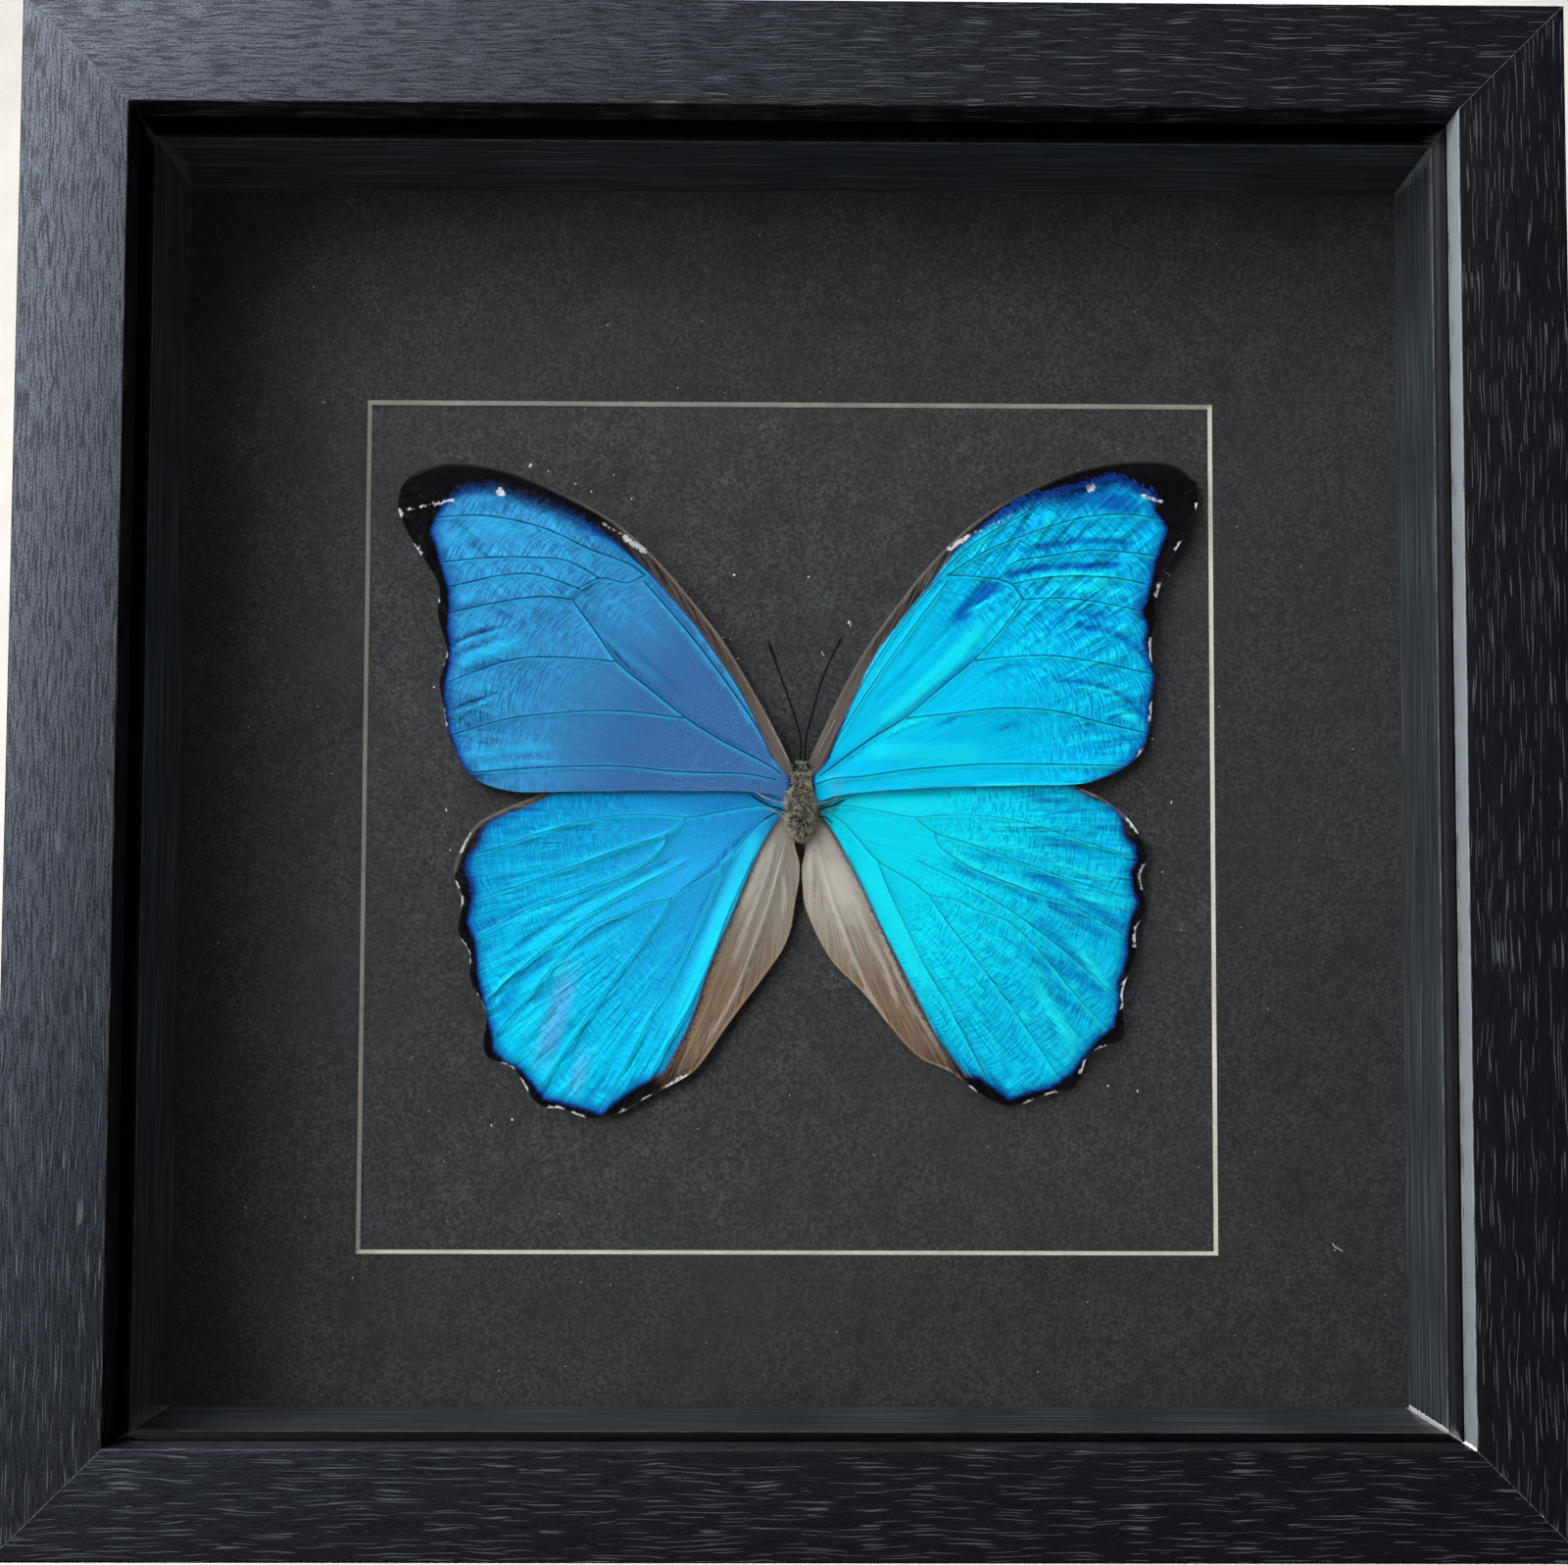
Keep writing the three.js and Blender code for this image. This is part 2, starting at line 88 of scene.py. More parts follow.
def place(across: float, depth: float, up: float) -> Vector:
    """Turns mm across, back from the front face and up from the middle into a point."""
    return Vector((across * MM, (depth - TOTAL_DEPTH / 2) * MM, (up + FRAME_HALF) * MM))


def linear(hex_colour: str) -> tuple[float, float, float, float]:
    """Turns an sRGB hex colour into linear RGBA."""
    channels = [int(hex_colour[i : i + 2], 16) / 255 for i in (1, 3, 5)]
    straight = [c / 12.92 if c <= 0.04045 else ((c + 0.055) / 1.055) ** 2.4 for c in channels]
    return (*straight, 1.0)


# ---------------------------------------------------------------------- node trees
def put(
    tree: bpy.types.NodeTree,
    kind: str,
    inputs: dict[int | str, Any] | None = None,
    out: int | str = 0,
    **settings: Any,
) -> Any:
    """Adds one node to a tree.

    Args:
        tree: The tree that gets the node.
        kind: The node's type name.
        inputs: Constants, "#rrggbb" colours or other nodes' sockets, by socket.
        out: Which output to hand back.
        **settings: Properties set on the node.

    Returns:
        The chosen output socket, or the node itself where it has none.
    """
    node = tree.nodes.new(kind)
    for name, value in settings.items():
        setattr(node, name, value)
    for key, value in (inputs or {}).items():
        socket = node.inputs[key]
        if isinstance(value, bpy.types.NodeSocket):
            tree.links.new(value, socket)
        elif isinstance(value, str) and value.startswith("#"):
            socket.default_value = linear(value)
        else:
            socket.default_value = value
    return node.outputs[out] if len(node.outputs) else node


BLEND = {"kind": "ShaderNodeMix", "data_type": "RGBA", "out": 2}
STEP = {"kind": "ShaderNodeMapRange", "interpolation_type": "SMOOTHSTEP"}
RANGE = {"kind": "ShaderNodeMapRange"}
MATH = {"kind": "ShaderNodeMath"}
NOISE = {"kind": "ShaderNodeTexNoise"}
BUMP = {"kind": "ShaderNodeBump"}
MAPPING = {"kind": "ShaderNodeMapping"}
COMBINE = {"kind": "ShaderNodeCombineXYZ"}
VECTOR = {"kind": "ShaderNodeVectorMath"}
RANDOM = {"kind": "FunctionNodeRandomValue"}
# One number that the mesh carries on each vertex, and the piece's own UV map, in mm.
READING = {"kind": "ShaderNodeAttribute", "out": "Fac"}
GRAIN = {"kind": "ShaderNodeUVMap", "uv_map": "Grain"}
PLUS, MINUS, TIMES, TIMES_PLUS = ({**MATH, "operation": name} for name in (
    "ADD", "SUBTRACT", "MULTIPLY", "MULTIPLY_ADD"))


def surface_of(name: str, **constants: Any) -> tuple[bpy.types.Material, Any, Any]:
    """Starts a material.

    Args:
        name: The real material and how it was made.
        **constants: Principled BSDF inputs by name, with _ for a space.

    Returns:
        The material, its tree and its Principled BSDF node.
    """
    material = bpy.data.materials.new(name)
    material.use_nodes = True
    tree = material.node_tree
    shader = tree.nodes["Principled BSDF"]
    for key, value in constants.items():
        socket = shader.inputs[key.replace("_", " ")]
        socket.default_value = linear(value) if isinstance(value, str) else value
    return material, tree, shader


def in_mm(tree: bpy.types.NodeTree, stretch: Point3 = (1, 1, 1)) -> Any:
    """Object coordinates in millimetres, squeezed along the axes for a pattern."""
    coordinates = put(tree, "ShaderNodeTexCoord", out="Object")
    scale = tuple(s / MM for s in stretch)
    return put(tree, inputs={"Vector": coordinates, "Scale": scale}, **MAPPING)


def dress(tree: bpy.types.NodeTree, shader: Any, **sockets: Any) -> None:
    """Links sockets to a shader's inputs, which are named with _ for a space."""
    for name, socket in sockets.items():
        tree.links.new(socket, shader.inputs[name.replace("_", " ")])


# ------------------------------------------------------------------------ finishes
@dataclass(frozen=True)
class GrainFoil:
    """Black paper foil, printed and embossed with open wood grain, over a wood rail.

    pores is the share of noise below which the foil stays plain, lip the colour of the
    painted highlight on a lit lip or of a darker edge, core what shows where a mitre is
    torn. mitre is also the colour of the painted reflection line behind a dark edge. bands
    and dashes are features per mm along the grain and across it, relief is the embossing's
    depth in mm.
    """

    name: str = "black wood-grain foil"
    ground: str = "#040405"
    haze: str = "#0a0b0d"
    pore: str = "#2f3236"
    mitre: str = "#44474a"
    lip: str = "#54585c"
    core: str = "#f0eee8"
    roughness: float = 0.46
    gloss: float = 0.24
    pores: float = 0.67
    relief: float = 0.02
    bands: Point2 = (0.02, 0.5)
    dashes: Point2 = (0.12, 4.4)

    def build(self) -> bpy.types.Material:
        """Builds the material on the Grain UV map: u runs along the rail, v round it."""
        # The black ink gives the foil's satin gloss a slate blue cast.
        material, tree, shader = surface_of(self.name, IOR=1.5, Specular_Tint="#d2e2ff")
        lip, mitre, chip = (put(tree, attribute_name=name, **READING)
                            for name in ("lip", "mitre", "chip"))
        straight = put(tree, **GRAIN)
        # The grain wanders about 0.5 mm sideways over each 15 mm.
        sway = put(tree, inputs={"Vector": straight, "Scale": (0.07, 0.12, 1)}, **MAPPING)
        sway = put(tree, inputs={"Vector": sway, "Scale": 1.0, "Detail": 2.0}, **NOISE)
        sway = put(tree, inputs={0: sway, 3: -0.9, 4: 0.9}, **RANGE)
        sway = put(tree, inputs={1: sway}, **COMBINE)
        grain = put(tree, inputs={0: straight, 1: sway}, operation="ADD", **VECTOR)
        # Dashes are pores about 0.25 mm wide and up to 8 mm long, wrinkles the embossing
        # between them, long and wavy, 0.4 mm apart.
        patterns = ((self.bands, 5.0, 0.65), (self.dashes, 0.0, 0.5), ((0.2, 2.5), 4.0, 0.6))
        noises = []
        for squeeze, detail, roughness in patterns:
            where = put(tree, inputs={"Vector": grain, "Scale": (*squeeze, 1)}, **MAPPING)
            noises.append(put(tree, inputs={"Vector": where, "Scale": 1.0, "Detail": detail,
                                            "Roughness": roughness}, **NOISE))
        wide, dashes, wrinkle = noises
        # Pores are denser in some bands.
        band = put(tree, inputs={0: wide, 1: 0.3, 2: 0.7, 3: 0.025, 4: -0.025}, **RANGE)
        level = put(tree, inputs={0: dashes, 1: band}, **MINUS)
        dash = put(tree, inputs={0: level, 1: self.pores, 2: self.pores + 0.05}, **STEP)
        groove = put(tree, inputs={0: wrinkle, 1: 0.47, 2: 0.58}, **STEP)
        # The foil's skin is stippled, 0.3 mm from dot to dot.
        stipple = put(tree, inputs={"Vector": grain, "Scale": 3.2, "Detail": 3.0}, **NOISE)
        tint = put(tree, inputs={0: wide, 6: self.ground, 7: self.haze}, **BLEND)
        tint = put(tree, inputs={0: dash, 6: tint, 7: self.pore}, **BLEND)
        # Painted highlight: a lip's face is painted pale in streaks where light falls on it; a
        # dark edge takes the lip colour in full.
        lip_lit_or_dark = put(tree, inputs={0: lip, 1: 0.6, 2: wrinkle}, **TIMES_PLUS)
        lip_lit_or_dark = put(tree, inputs={0: lip_lit_or_dark, 1: 0.62, 2: 0.9}, **STEP)
        tint = put(tree, inputs={0: lip_lit_or_dark, 6: tint, 7: self.lip}, **BLEND)
        # The mitre shows as a thin line that comes and goes, and is torn at a corner. On the
        # spacers the same mask also paints the pale reflection line behind the dark edge.
        mark_or_highlight = put(tree, inputs={0: wrinkle, 1: 0.4, 2: 0.62, 3: 0.0, 4: 0.14}, **RANGE)
        mark_or_highlight = put(tree, inputs={0: mitre, 1: mark_or_highlight}, **MINUS)
        mark_or_highlight = put(tree, inputs={0: mark_or_highlight, 1: -0.04, 2: 0.02, 3: 0.9, 4: 0.0}, **STEP)
        tint = put(tree, inputs={0: mark_or_highlight, 6: tint, 7: self.mitre}, **BLEND)
        torn = put(tree, inputs={0: wrinkle, 1: 0.3, 2: 0.7, 3: 0.3, 4: -0.3}, **RANGE)
        torn = put(tree, inputs={0: chip, 1: torn}, **PLUS)
        torn = put(tree, inputs={0: torn, 1: 0.0, 2: 0.08, 3: 1.0, 4: 0.0}, **STEP)
        tint = put(tree, inputs={0: torn, 6: tint, 7: self.core}, **BLEND)
        dull = put(tree, inputs={0: groove, 1: dash}, operation="MAXIMUM", **MATH)
        gloss = put(tree, inputs={0: dull, 3: self.gloss, 4: self.gloss * 0.4}, **RANGE)
        dotted = put(tree, inputs={0: stipple, 1: 0.35, 2: 0.65, 3: 0.5, 4: 1.5}, **RANGE)
        gloss = put(tree, inputs={0: gloss, 1: dotted}, **TIMES)
        # A darker edge has next to no gloss.
        dark_edge_gloss = put(tree, inputs={0: lip, 1: 1.2, 2: 1.5, 3: 1.0, 4: 0.15}, **RANGE)
        gloss = put(tree, inputs={0: gloss, 1: dark_edge_gloss}, **TIMES)
        height = put(tree, inputs={0: dull, 1: -0.7, 2: wide}, **TIMES_PLUS)
        bump = put(tree, inputs={"Height": height, "Strength": 0.7,
                                 "Distance": self.relief * MM}, **BUMP)
        rough = put(tree, inputs={0: wide, 3: self.roughness - 0.06, 4: self.roughness + 0.08},
                    **RANGE)
        dress(tree, shader, Base_Color=tint, Specular_IOR_Level=gloss, Roughness=rough,
              Normal=bump)
        return material


@dataclass(frozen=True)
class MottledPaper:
    """Black paper face of a card or mat: felted fibres, slightly mottled."""

    name: str
    ground: str
    fleck: str
    roughness: float = 0.9

    def build(self) -> bpy.types.Material:
        """Builds the material on object coordinates."""
        material, tree, shader = surface_of(self.name, Roughness=self.roughness, IOR=1.45)
        # Clouds are 8 mm wide. Paper fibres are 0.03 mm wide, too fine to show, so the
        # felt is drawn as coarse as it needs to show, 0.6 mm.
        cloud, felt = (put(tree, inputs={"Vector": in_mm(tree), "Scale": scale,
                                         "Detail": detail, "Roughness": 0.75}, **NOISE)
                       for scale, detail in ((0.12, 8.0), (1.6, 4.0)))
        mask = put(tree, inputs={0: felt, 1: 0.38, 2: 0.68}, **STEP)
        shade = put(tree, inputs={0: cloud, 1: 0.3, 2: 0.7, 3: 0.2, 4: 1.0}, **RANGE)
        mask = put(tree, inputs={0: mask, 1: shade}, **TIMES)
        tint = put(tree, inputs={0: mask, 6: self.ground, 7: self.fleck}, **BLEND)
        bump = put(tree, inputs={"Height": felt, "Strength": 0.4, "Distance": 0.06 * MM},
                   **BUMP)
        dress(tree, shader, Base_Color=tint, Normal=bump)
        return material


@dataclass(frozen=True)
class Grainy:
    """A plain finish whose colour, gloss and relief drift with one stretched noise.

    scale is in features per mm, so 0.5 draws them 2 mm apart.
    """

    name: str
    ground: str
    spot: str
    scale: float
    stretch: Point3 = (1, 1, 1)
    roughness: float = 0.5
    metallic: float = 0.0
    relief: float = 0.04
    gloss: float = 0.5

    def build(self) -> bpy.types.Material:
        """Builds the material on object coordinates."""
        material, tree, shader = surface_of(self.name, Metallic=self.metallic, IOR=1.5,
                                            Specular_IOR_Level=self.gloss)
        grain = put(tree, inputs={"Vector": in_mm(tree, self.stretch), "Scale": self.scale,
                                  "Detail": 6.0, "Roughness": 0.7}, **NOISE)
        mask = put(tree, inputs={0: grain, 1: 0.35, 2: 0.68}, **STEP)
        tint = put(tree, inputs={0: mask, 6: self.ground, 7: self.spot}, **BLEND)
        rough = put(tree, inputs={0: grain, 3: self.roughness - 0.15, 4: self.roughness + 0.15},
                    **RANGE)
        bump = put(tree, inputs={"Height": grain, "Strength": 0.5,
                                 "Distance": self.relief * MM}, **BUMP)
        dress(tree, shader, Base_Color=tint, Roughness=rough, Normal=bump)
        return material


@dataclass(frozen=True)
class FloatGlass:
    """A clear 2 mm pane of float glass."""

    name: str = "clear float glass"

    def build(self) -> bpy.types.Material:
        """Builds the material: clear transmission, with a trace of dust that dulls it."""
        material, tree, shader = surface_of(self.name, Transmission_Weight=1.0, IOR=1.5,
                                            Base_Color="#fbfdfc")
        smear = put(tree, inputs={"Vector": in_mm(tree), "Scale": 0.03, "Detail": 4.0}, **NOISE)
        rough = put(tree, inputs={0: smear, 1: 0.45, 2: 0.8, 3: 0.0, 4: 0.004}, **STEP)
        dress(tree, shader, Roughness=rough)
        return material


@dataclass(frozen=True)
class WingScales:
    """Scales of a morpho's wing, printed by the distances that the wing mesh carries.

    near and far are the blue at the root and at the outer margin, painted as bright as
    each wing's iridescence catches the light at its tilt, bright and shade the painted
    highlight and painted shade on the two flanks of a pleat, on ripple crests and troughs
    and in the bands, edge the deep blue next to the dark margin rim, costa the brown front
    edge, pale its root, fold, deep and anal the bare inner-edge membranes from root to
    tip, vein the veins in the blue, dust the scattered scales at the apex, loose the
    loose ones near the root, bloom where scales are scuffed. crisp is how dark the veins
    are, lee how much darker the blue is along the front edge. pleats and ripples are where
    those begin and are full, in mm from the root.
    """

    name: str
    near: str
    far: str
    bright: str
    shade: str
    pleats: Point2
    ripples: Point2
    edge: str = "#0a3a8e"
    rim: str = "#0d0a0f"
    costa: str = "#2c2420"
    pale: str = "#6e645d"
    stripe: str = "#7d7068"
    fold: str = "#a59a91"
    deep: str = "#8b7462"
    anal: str = "#33241d"
    vein: str = "#062a5c"
    dust: str = "#0f1730"
    loose: str = "#7fb4dc"
    bloom: str = "#6a9ce4"
    crisp: float = 0.85
    ruffle: float = 1.0
    lee: float = 0.0
    length: float = 62.0

    def build(self) -> bpy.types.Material:
        """Builds the material from the vertex numbers, all in millimetres."""
        material, tree, shader = surface_of(self.name, IOR=1.5, Specular_IOR_Level=0.4)
        values = self._numbers(tree)
        self._stepped(tree, values, self._steps())
        # Scattered scales: powder frays the blue's edge, most of all at the apex.
        sums = {
            "apex": ("at apex", "far out", 0.0),
            "ragged": ("apex", 1.4, 0.16),
            "fray": ("ragged", "beside skin", 0.0),
            "inside": ("powder", "fray", "field"),
            "fading": ("apex", 5.0, 0.45),
            "tipped": ("powder", 1.5, "reach"),
            "skin edge": ("powder", 0.8, "anal"),
            "spot": ("powder", 0.4, "mark"),
            "brown": ("near front", "inner half", 0.0),
            "mottled shade": ("shade", "mottle", 0.0),
            "mottled gleam": ("gleam", "mottle", 0.0),
        }
        for name, parts in sums.items():
            inputs = {k: values.get(part, part) for k, part in enumerate(parts)}
            values[name] = put(tree, inputs=inputs, **TIMES_PLUS)
        self._stepped(tree, values, {
            "lit": ("inside", -0.1, values["fading"]),
            "hemmed": ("inside", -0.5, -0.02),
            "dark tip": ("tipped", 41.0, 51.0, 0.0, 0.9),
            "skin": ("skin edge", -0.5, 1.2),
            "speck": ("spot", -0.14, 0.16, 1.0, 0.0),
        })

        # Painted shade and painted highlight: the shade colour lies on pleat flanks, ripple
        # troughs and the shade bands, the bright one on the other flanks, on crests, in the
        # gleam bands and as a glow beside the veins.
        blue = self._painted(tree, values, self.near, [
            (self.far, "outer"), (self.shade, "low", "folded"), (self.bright, "high", "folded"),
            (self.shade, "coarse"), (self.shade, "lined"), (self.shade, "leeward"),
            (self.shade, "trough", "patched", "crinkled"),
            (self.bright, "crest", "patched", "crinkled"),
            (self.shade, "mottled shade"), (self.bright, "mottled gleam"),
            (self.bloom, "bloom"), (self.loose, "loosened", "rooted"),
            (self.edge, "hem", "outer"), (self.bright, "vein glow"), (self.vein, "vein line"),
        ])
        brown = self._painted(tree, values, self.costa, [
            (self.pale, "at root"), (self.stripe, "vein stripe"), (self.rim, "ridged"),
            (self.stripe, "front ridge"),
        ])
        # On the bare membranes the gleam bands are a painted pale sheen and the shade bands
        # painted shade.
        skin = self._painted(tree, values, self.fold, [
            (self.deep, "mid fold"), (self.anal, "fibrous"), ("#d2c9c0", "gleam"),
            (self.anal, "mottled shade"), (self.anal, "dark tip"), ("#b08f6c", "skin brim"),
        ])
        rim = self._painted(tree, values, self.rim, [
            (brown, "brown"), (self.stripe, "front line", "front run"), (skin, "skin"),
        ])
        # Deep blue scales hem the blue at the outer margin only.
        band = self._painted(tree, values, self.edge, [
            ("#4a4f63", "beside"), (self.dust, "apex"), (rim, "brown"),
        ])
        tint = self._painted(tree, values, rim, [
            (band, "hemmed"), (blue, "lit"), ("#dde0e6", "speck"), ("#8c8f99", "brim"),
        ])
        self._finish(tree, shader, values, tint)
        return material

    def _stepped(self, tree: bpy.types.NodeTree, values: dict[str, Any],
                 steps: dict[str, tuple[Any, ...]]) -> None:
        """Adds smooth steps to the values, from a table such as _steps gives."""
        for name, (source, *limits) in steps.items():
            inputs = dict(enumerate((values[source], *limits)))
            values[name] = put(tree, inputs=inputs, **STEP)

    def _numbers(self, tree: bpy.types.NodeTree) -> dict[str, Any]:
        """The vertex numbers, and noises that run with the wing, by name."""
        values = {name: put(tree, attribute_name=name, **READING) for name in (
            "reach", "turn", "vein", "front", "field", "anal", "rim", "mark", "shade",
            "gleam", "bloom")}
        flow = put(tree, inputs={0: values["reach"], 1: values["turn"]}, **COMBINE)
        # Ripples bow outwards between two veins.
        bow = put(tree, inputs={0: values["vein"], 1: 2.5}, operation="MINIMUM", **MATH)
        bow = put(tree, inputs={0: bow, 1: -0.32}, **TIMES)
        bow = put(tree, inputs={0: bow}, **COMBINE)
        bowed = put(tree, inputs={0: flow, 1: bow}, operation="ADD", **VECTOR)
        # Each pattern: what it runs along, features per mm along and across, detail.
        grains = {
            # A scale is 0.1 mm wide, too fine to show, so clumps stand in for scales.
            "powder": (flow, 1.5, 1.5, 7.0),
            # Scales sit in rows; clumps of them show, 0.3 mm across.
            "grit": (flow, 3.2, 3.2, 3.0),
            # Pleats run out from the root, 3 to 6 mm apart.
            "pleat": (flow, 0.045, 0.36, 3.0),
            "streak": (flow, 0.06, 1.1, 4.0),
            "patch": (flow, 0.3, 0.3, 3.0),
            "clump": (flow, 2.6, 2.6, 2.0),
            "fibre": (flow, 0.12, 2.2, 4.0),
            # Ripples of the dried membrane run across the pleats, 0.4 to 0.7 mm apart.
            "ripple": (bowed, 2.7, 0.42, 1.0),
        }
        for name, (vector, along, across, detail) in grains.items():
            where = put(tree, inputs={"Vector": vector, "Scale": (along, across, 1)},
                        **MAPPING)
            values[name] = put(tree, inputs={"Vector": where, "Scale": 1.0, "Detail": detail,
                                             "Roughness": 0.65}, **NOISE)
        values["powder"] = put(tree, inputs={0: values["powder"], 1: 0.28, 2: 0.72,
                                             3: -1.0, 4: 1.0}, **RANGE)
        return values

    def _steps(self) -> dict[str, tuple[Any, ...]]:
        """Smooth steps by name: source, start, stop, and the values there if not 0 and 1."""
        ruffle = 0.48 * self.ruffle
        return {
            "outer": ("reach", self.length * 0.4, self.length * 0.95),
            "folded": ("reach", *self.pleats),
            "crinkled": ("reach", *self.ripples),
            "patched": ("patch", 0.34, 0.54, 0.4, 1.0),
            "low": ("pleat", 0.34, 0.46, 0.6, 0.0),
            "high": ("pleat", 0.54, 0.66, 0.0, 0.7),
            "coarse": ("grit", 0.35, 0.75, 0.0, 0.22),
            "lined": ("streak", 0.35, 0.65, 0.0, 0.22),
            "mottle": ("streak", 0.3, 0.7, 0.7, 1.25),
            "leeward": ("front", 2.0, 22.0, self.lee, 0.0),
            "loosened": ("clump", 0.59, 0.65),
            "rooted": ("reach", 12.0, 34.0, 0.7, 0.0),
            "trough": ("ripple", 0.4, 0.5, ruffle, 0.0),
            "crest": ("ripple", 0.5, 0.61, 0.0, ruffle),
            "hem": ("field", 0.0, 2.2, 0.7, 0.0),
            "vein glow": ("vein", 0.2, 0.6, 0.16, 0.0),
            "vein line": ("vein", 0.06, 0.24, self.crisp, 0.0),
            "at apex": ("front", 2.0, 9.0, 1.0, 0.0),
            "far out": ("reach", 52.0, 68.0),
            "beside": ("anal", -1.6, -0.4),
            "beside skin": ("anal", -1.6, -0.4, 1.0, 0.4),
            "near front": ("front", 1.6, 3.4, 1.0, 0.0),
            "inner half": ("reach", 44.0, 60.0, 1.0, 0.0),
            "at root": ("reach", 12.0, 34.0, 1.0, 0.0),
            "vein stripe": ("vein", 0.05, 0.4, 0.6, 0.0),
            "front line": ("front", 0.2, 0.75, 0.75, 0.0),
            "front run": ("reach", 50.0, 74.0, 1.0, 0.2),
            "mid fold": ("reach", 12.0, 32.0),
            "fibrous": ("fibre", 0.35, 0.7, 0.0, 0.55),
            "ridged": ("fibre", 0.42, 0.56, 0.0, 0.65),
            "front ridge": ("fibre", 0.6, 0.4, 0.5, 0.0),
            "skin brim": ("rim", 0.1, 0.7, 0.55, 0.0),
            "brim": ("rim", 0.02, 0.3, 0.12, 0.0),
        }

    def _painted(self, tree: bpy.types.NodeTree, values: dict[str, Any], ground: Any,
                 layers: list[tuple[Any, ...]]) -> Any:
        """Lays colours over a ground.

        Args:
            tree: The material's tree.
            values: Masks by name.
            ground: The lowest colour.
            layers: Colours from below, each with the masks whose product shows it.

        Returns:
            The topmost colour's socket.
        """
        for colour, first, *others in layers:
            mask = values[first]
            for other in others:
                mask = put(tree, inputs={0: mask, 1: values[other]}, **TIMES)
            ground = put(tree, inputs={0: mask, 6: ground, 7: colour}, **BLEND)
        return ground

    def _finish(self, tree: bpy.types.NodeTree, shader: Any, values: dict[str, Any],
                tint: Any) -> None:
        """Links colour, gloss and relief to the shader."""
        ridges = put(tree, inputs={0: values["ripple"], 1: values["crinkled"]}, **TIMES)
        swell = put(tree, inputs={0: values["pleat"], 1: values["folded"]}, **TIMES)
        band = put(tree, inputs={0: values["gleam"], 1: values["shade"]}, **MINUS)
        under: dict[str, Any] = {}
        # Each layer of relief: what drives it, its strength and its height in mm.
        for height, strength, distance in ((values["grit"], 0.5, 0.1),
                                           (ridges, 0.8 * self.ruffle, 0.25),
                                           (swell, 0.9 * self.ruffle, 2.4),
                                           (band, 0.6, 0.5)):
            under = {"Normal": put(tree, inputs={
                "Height": height, "Strength": strength, "Distance": distance * MM, **under},
                **BUMP)}
        rough = put(tree, inputs={0: values["lit"], 3: 0.7, 4: 0.45}, **RANGE)
        dress(tree, shader, Base_Color=tint, Specular_Tint=tint, Roughness=rough, **under)


@dataclass(frozen=True)
class Hair:
    """Hair-like scales of the body, whose colour changes from tuft to tuft."""

    name: str
    dark: str
    light: str
    scale: float

    def build(self) -> bpy.types.Material:
        """Builds the material on object coordinates, so that a tuft shares its colour."""
        material, tree, shader = surface_of(self.name, Roughness=0.55, IOR=1.55,
                                            Sheen_Weight=0.15)
        tuft = put(tree, inputs={"Vector": in_mm(tree), "Scale": self.scale, "Detail": 5.0,
                                 "Roughness": 0.8}, **NOISE)
        mask = put(tree, inputs={0: tuft, 1: 0.4, 2: 0.6}, **STEP)
        tint = put(tree, inputs={0: mask, 6: self.dark, 7: self.light}, **BLEND)
        dress(tree, shader, Base_Color=tint)
        return material


class Finish(Enum):
    """The finishes that more than one piece shares, or that a CAD node takes."""

    FOIL = GrainFoil()
    # Spacers: a foil with long faint streaks for pores, a black edge at the glass and, in
    # the mitre colour, a painted reflection line behind that edge.
    SPACER = GrainFoil(name="plain black foil on fibreboard", ground="#191b1e",
                       haze="#3a3d42", pore="#66696f", mitre="#7c8086", roughness=0.6,
                       lip="#030304", gloss=0.2, pores=0.6, relief=0.03,
                       bands=(0.008, 2.2), dashes=(0.035, 4.2))
    GLASS = FloatGlass()
    MAT = MottledPaper("black mat paper", ground="#1e1f20", fleck="#4b4c4e")
    CARD = MottledPaper("black mounting card", ground="#212224", fleck="#555659")
    # Mat core: soft cream pulp, cut with a bevel knife.
    CORE = Grainy("cut cream mat core", "#c2bdae", "#d6d1c3", scale=1.5, roughness=0.9)
    # Back board: pressed brown hardboard, smooth side out, with fibre flecks 1.2 mm wide.
    BOARD = Grainy("pressed brown hardboard", "#5f4127", "#8a6640", scale=0.8,
                   roughness=0.7, relief=0.08)
    # Tabs and hanger: the zinc's flowers are 2 mm wide.
    STEEL = Grainy("zinc plated steel sheet", "#9a9c9c", "#c2c4c3", scale=0.5,
                   roughness=0.5, metallic=1.0, relief=0.01)
    CHITIN = Grainy("dark chitin", "#020202", "#0b0807", scale=3.0, roughness=0.6,
                    relief=0.02, gloss=0.12)
    SCLERITE = Grainy("pale plates at the wing roots", "#6d6a66", "#c9cbd0", scale=1.4,
                      roughness=0.5, relief=0.05)
    # Tufts of hair change colour over 1 mm.
    FUR = Hair("olive brown body hair", dark="#3a3424", light="#ece2ca", scale=1.0)
    SKIN = Grainy("dark body skin", "#15110d", "#2b241a", scale=1.2, roughness=0.8)
    DUST = Grainy("pale dust and lint", "#c9cbc8", "#f1f2ef", scale=2.0, roughness=0.95)


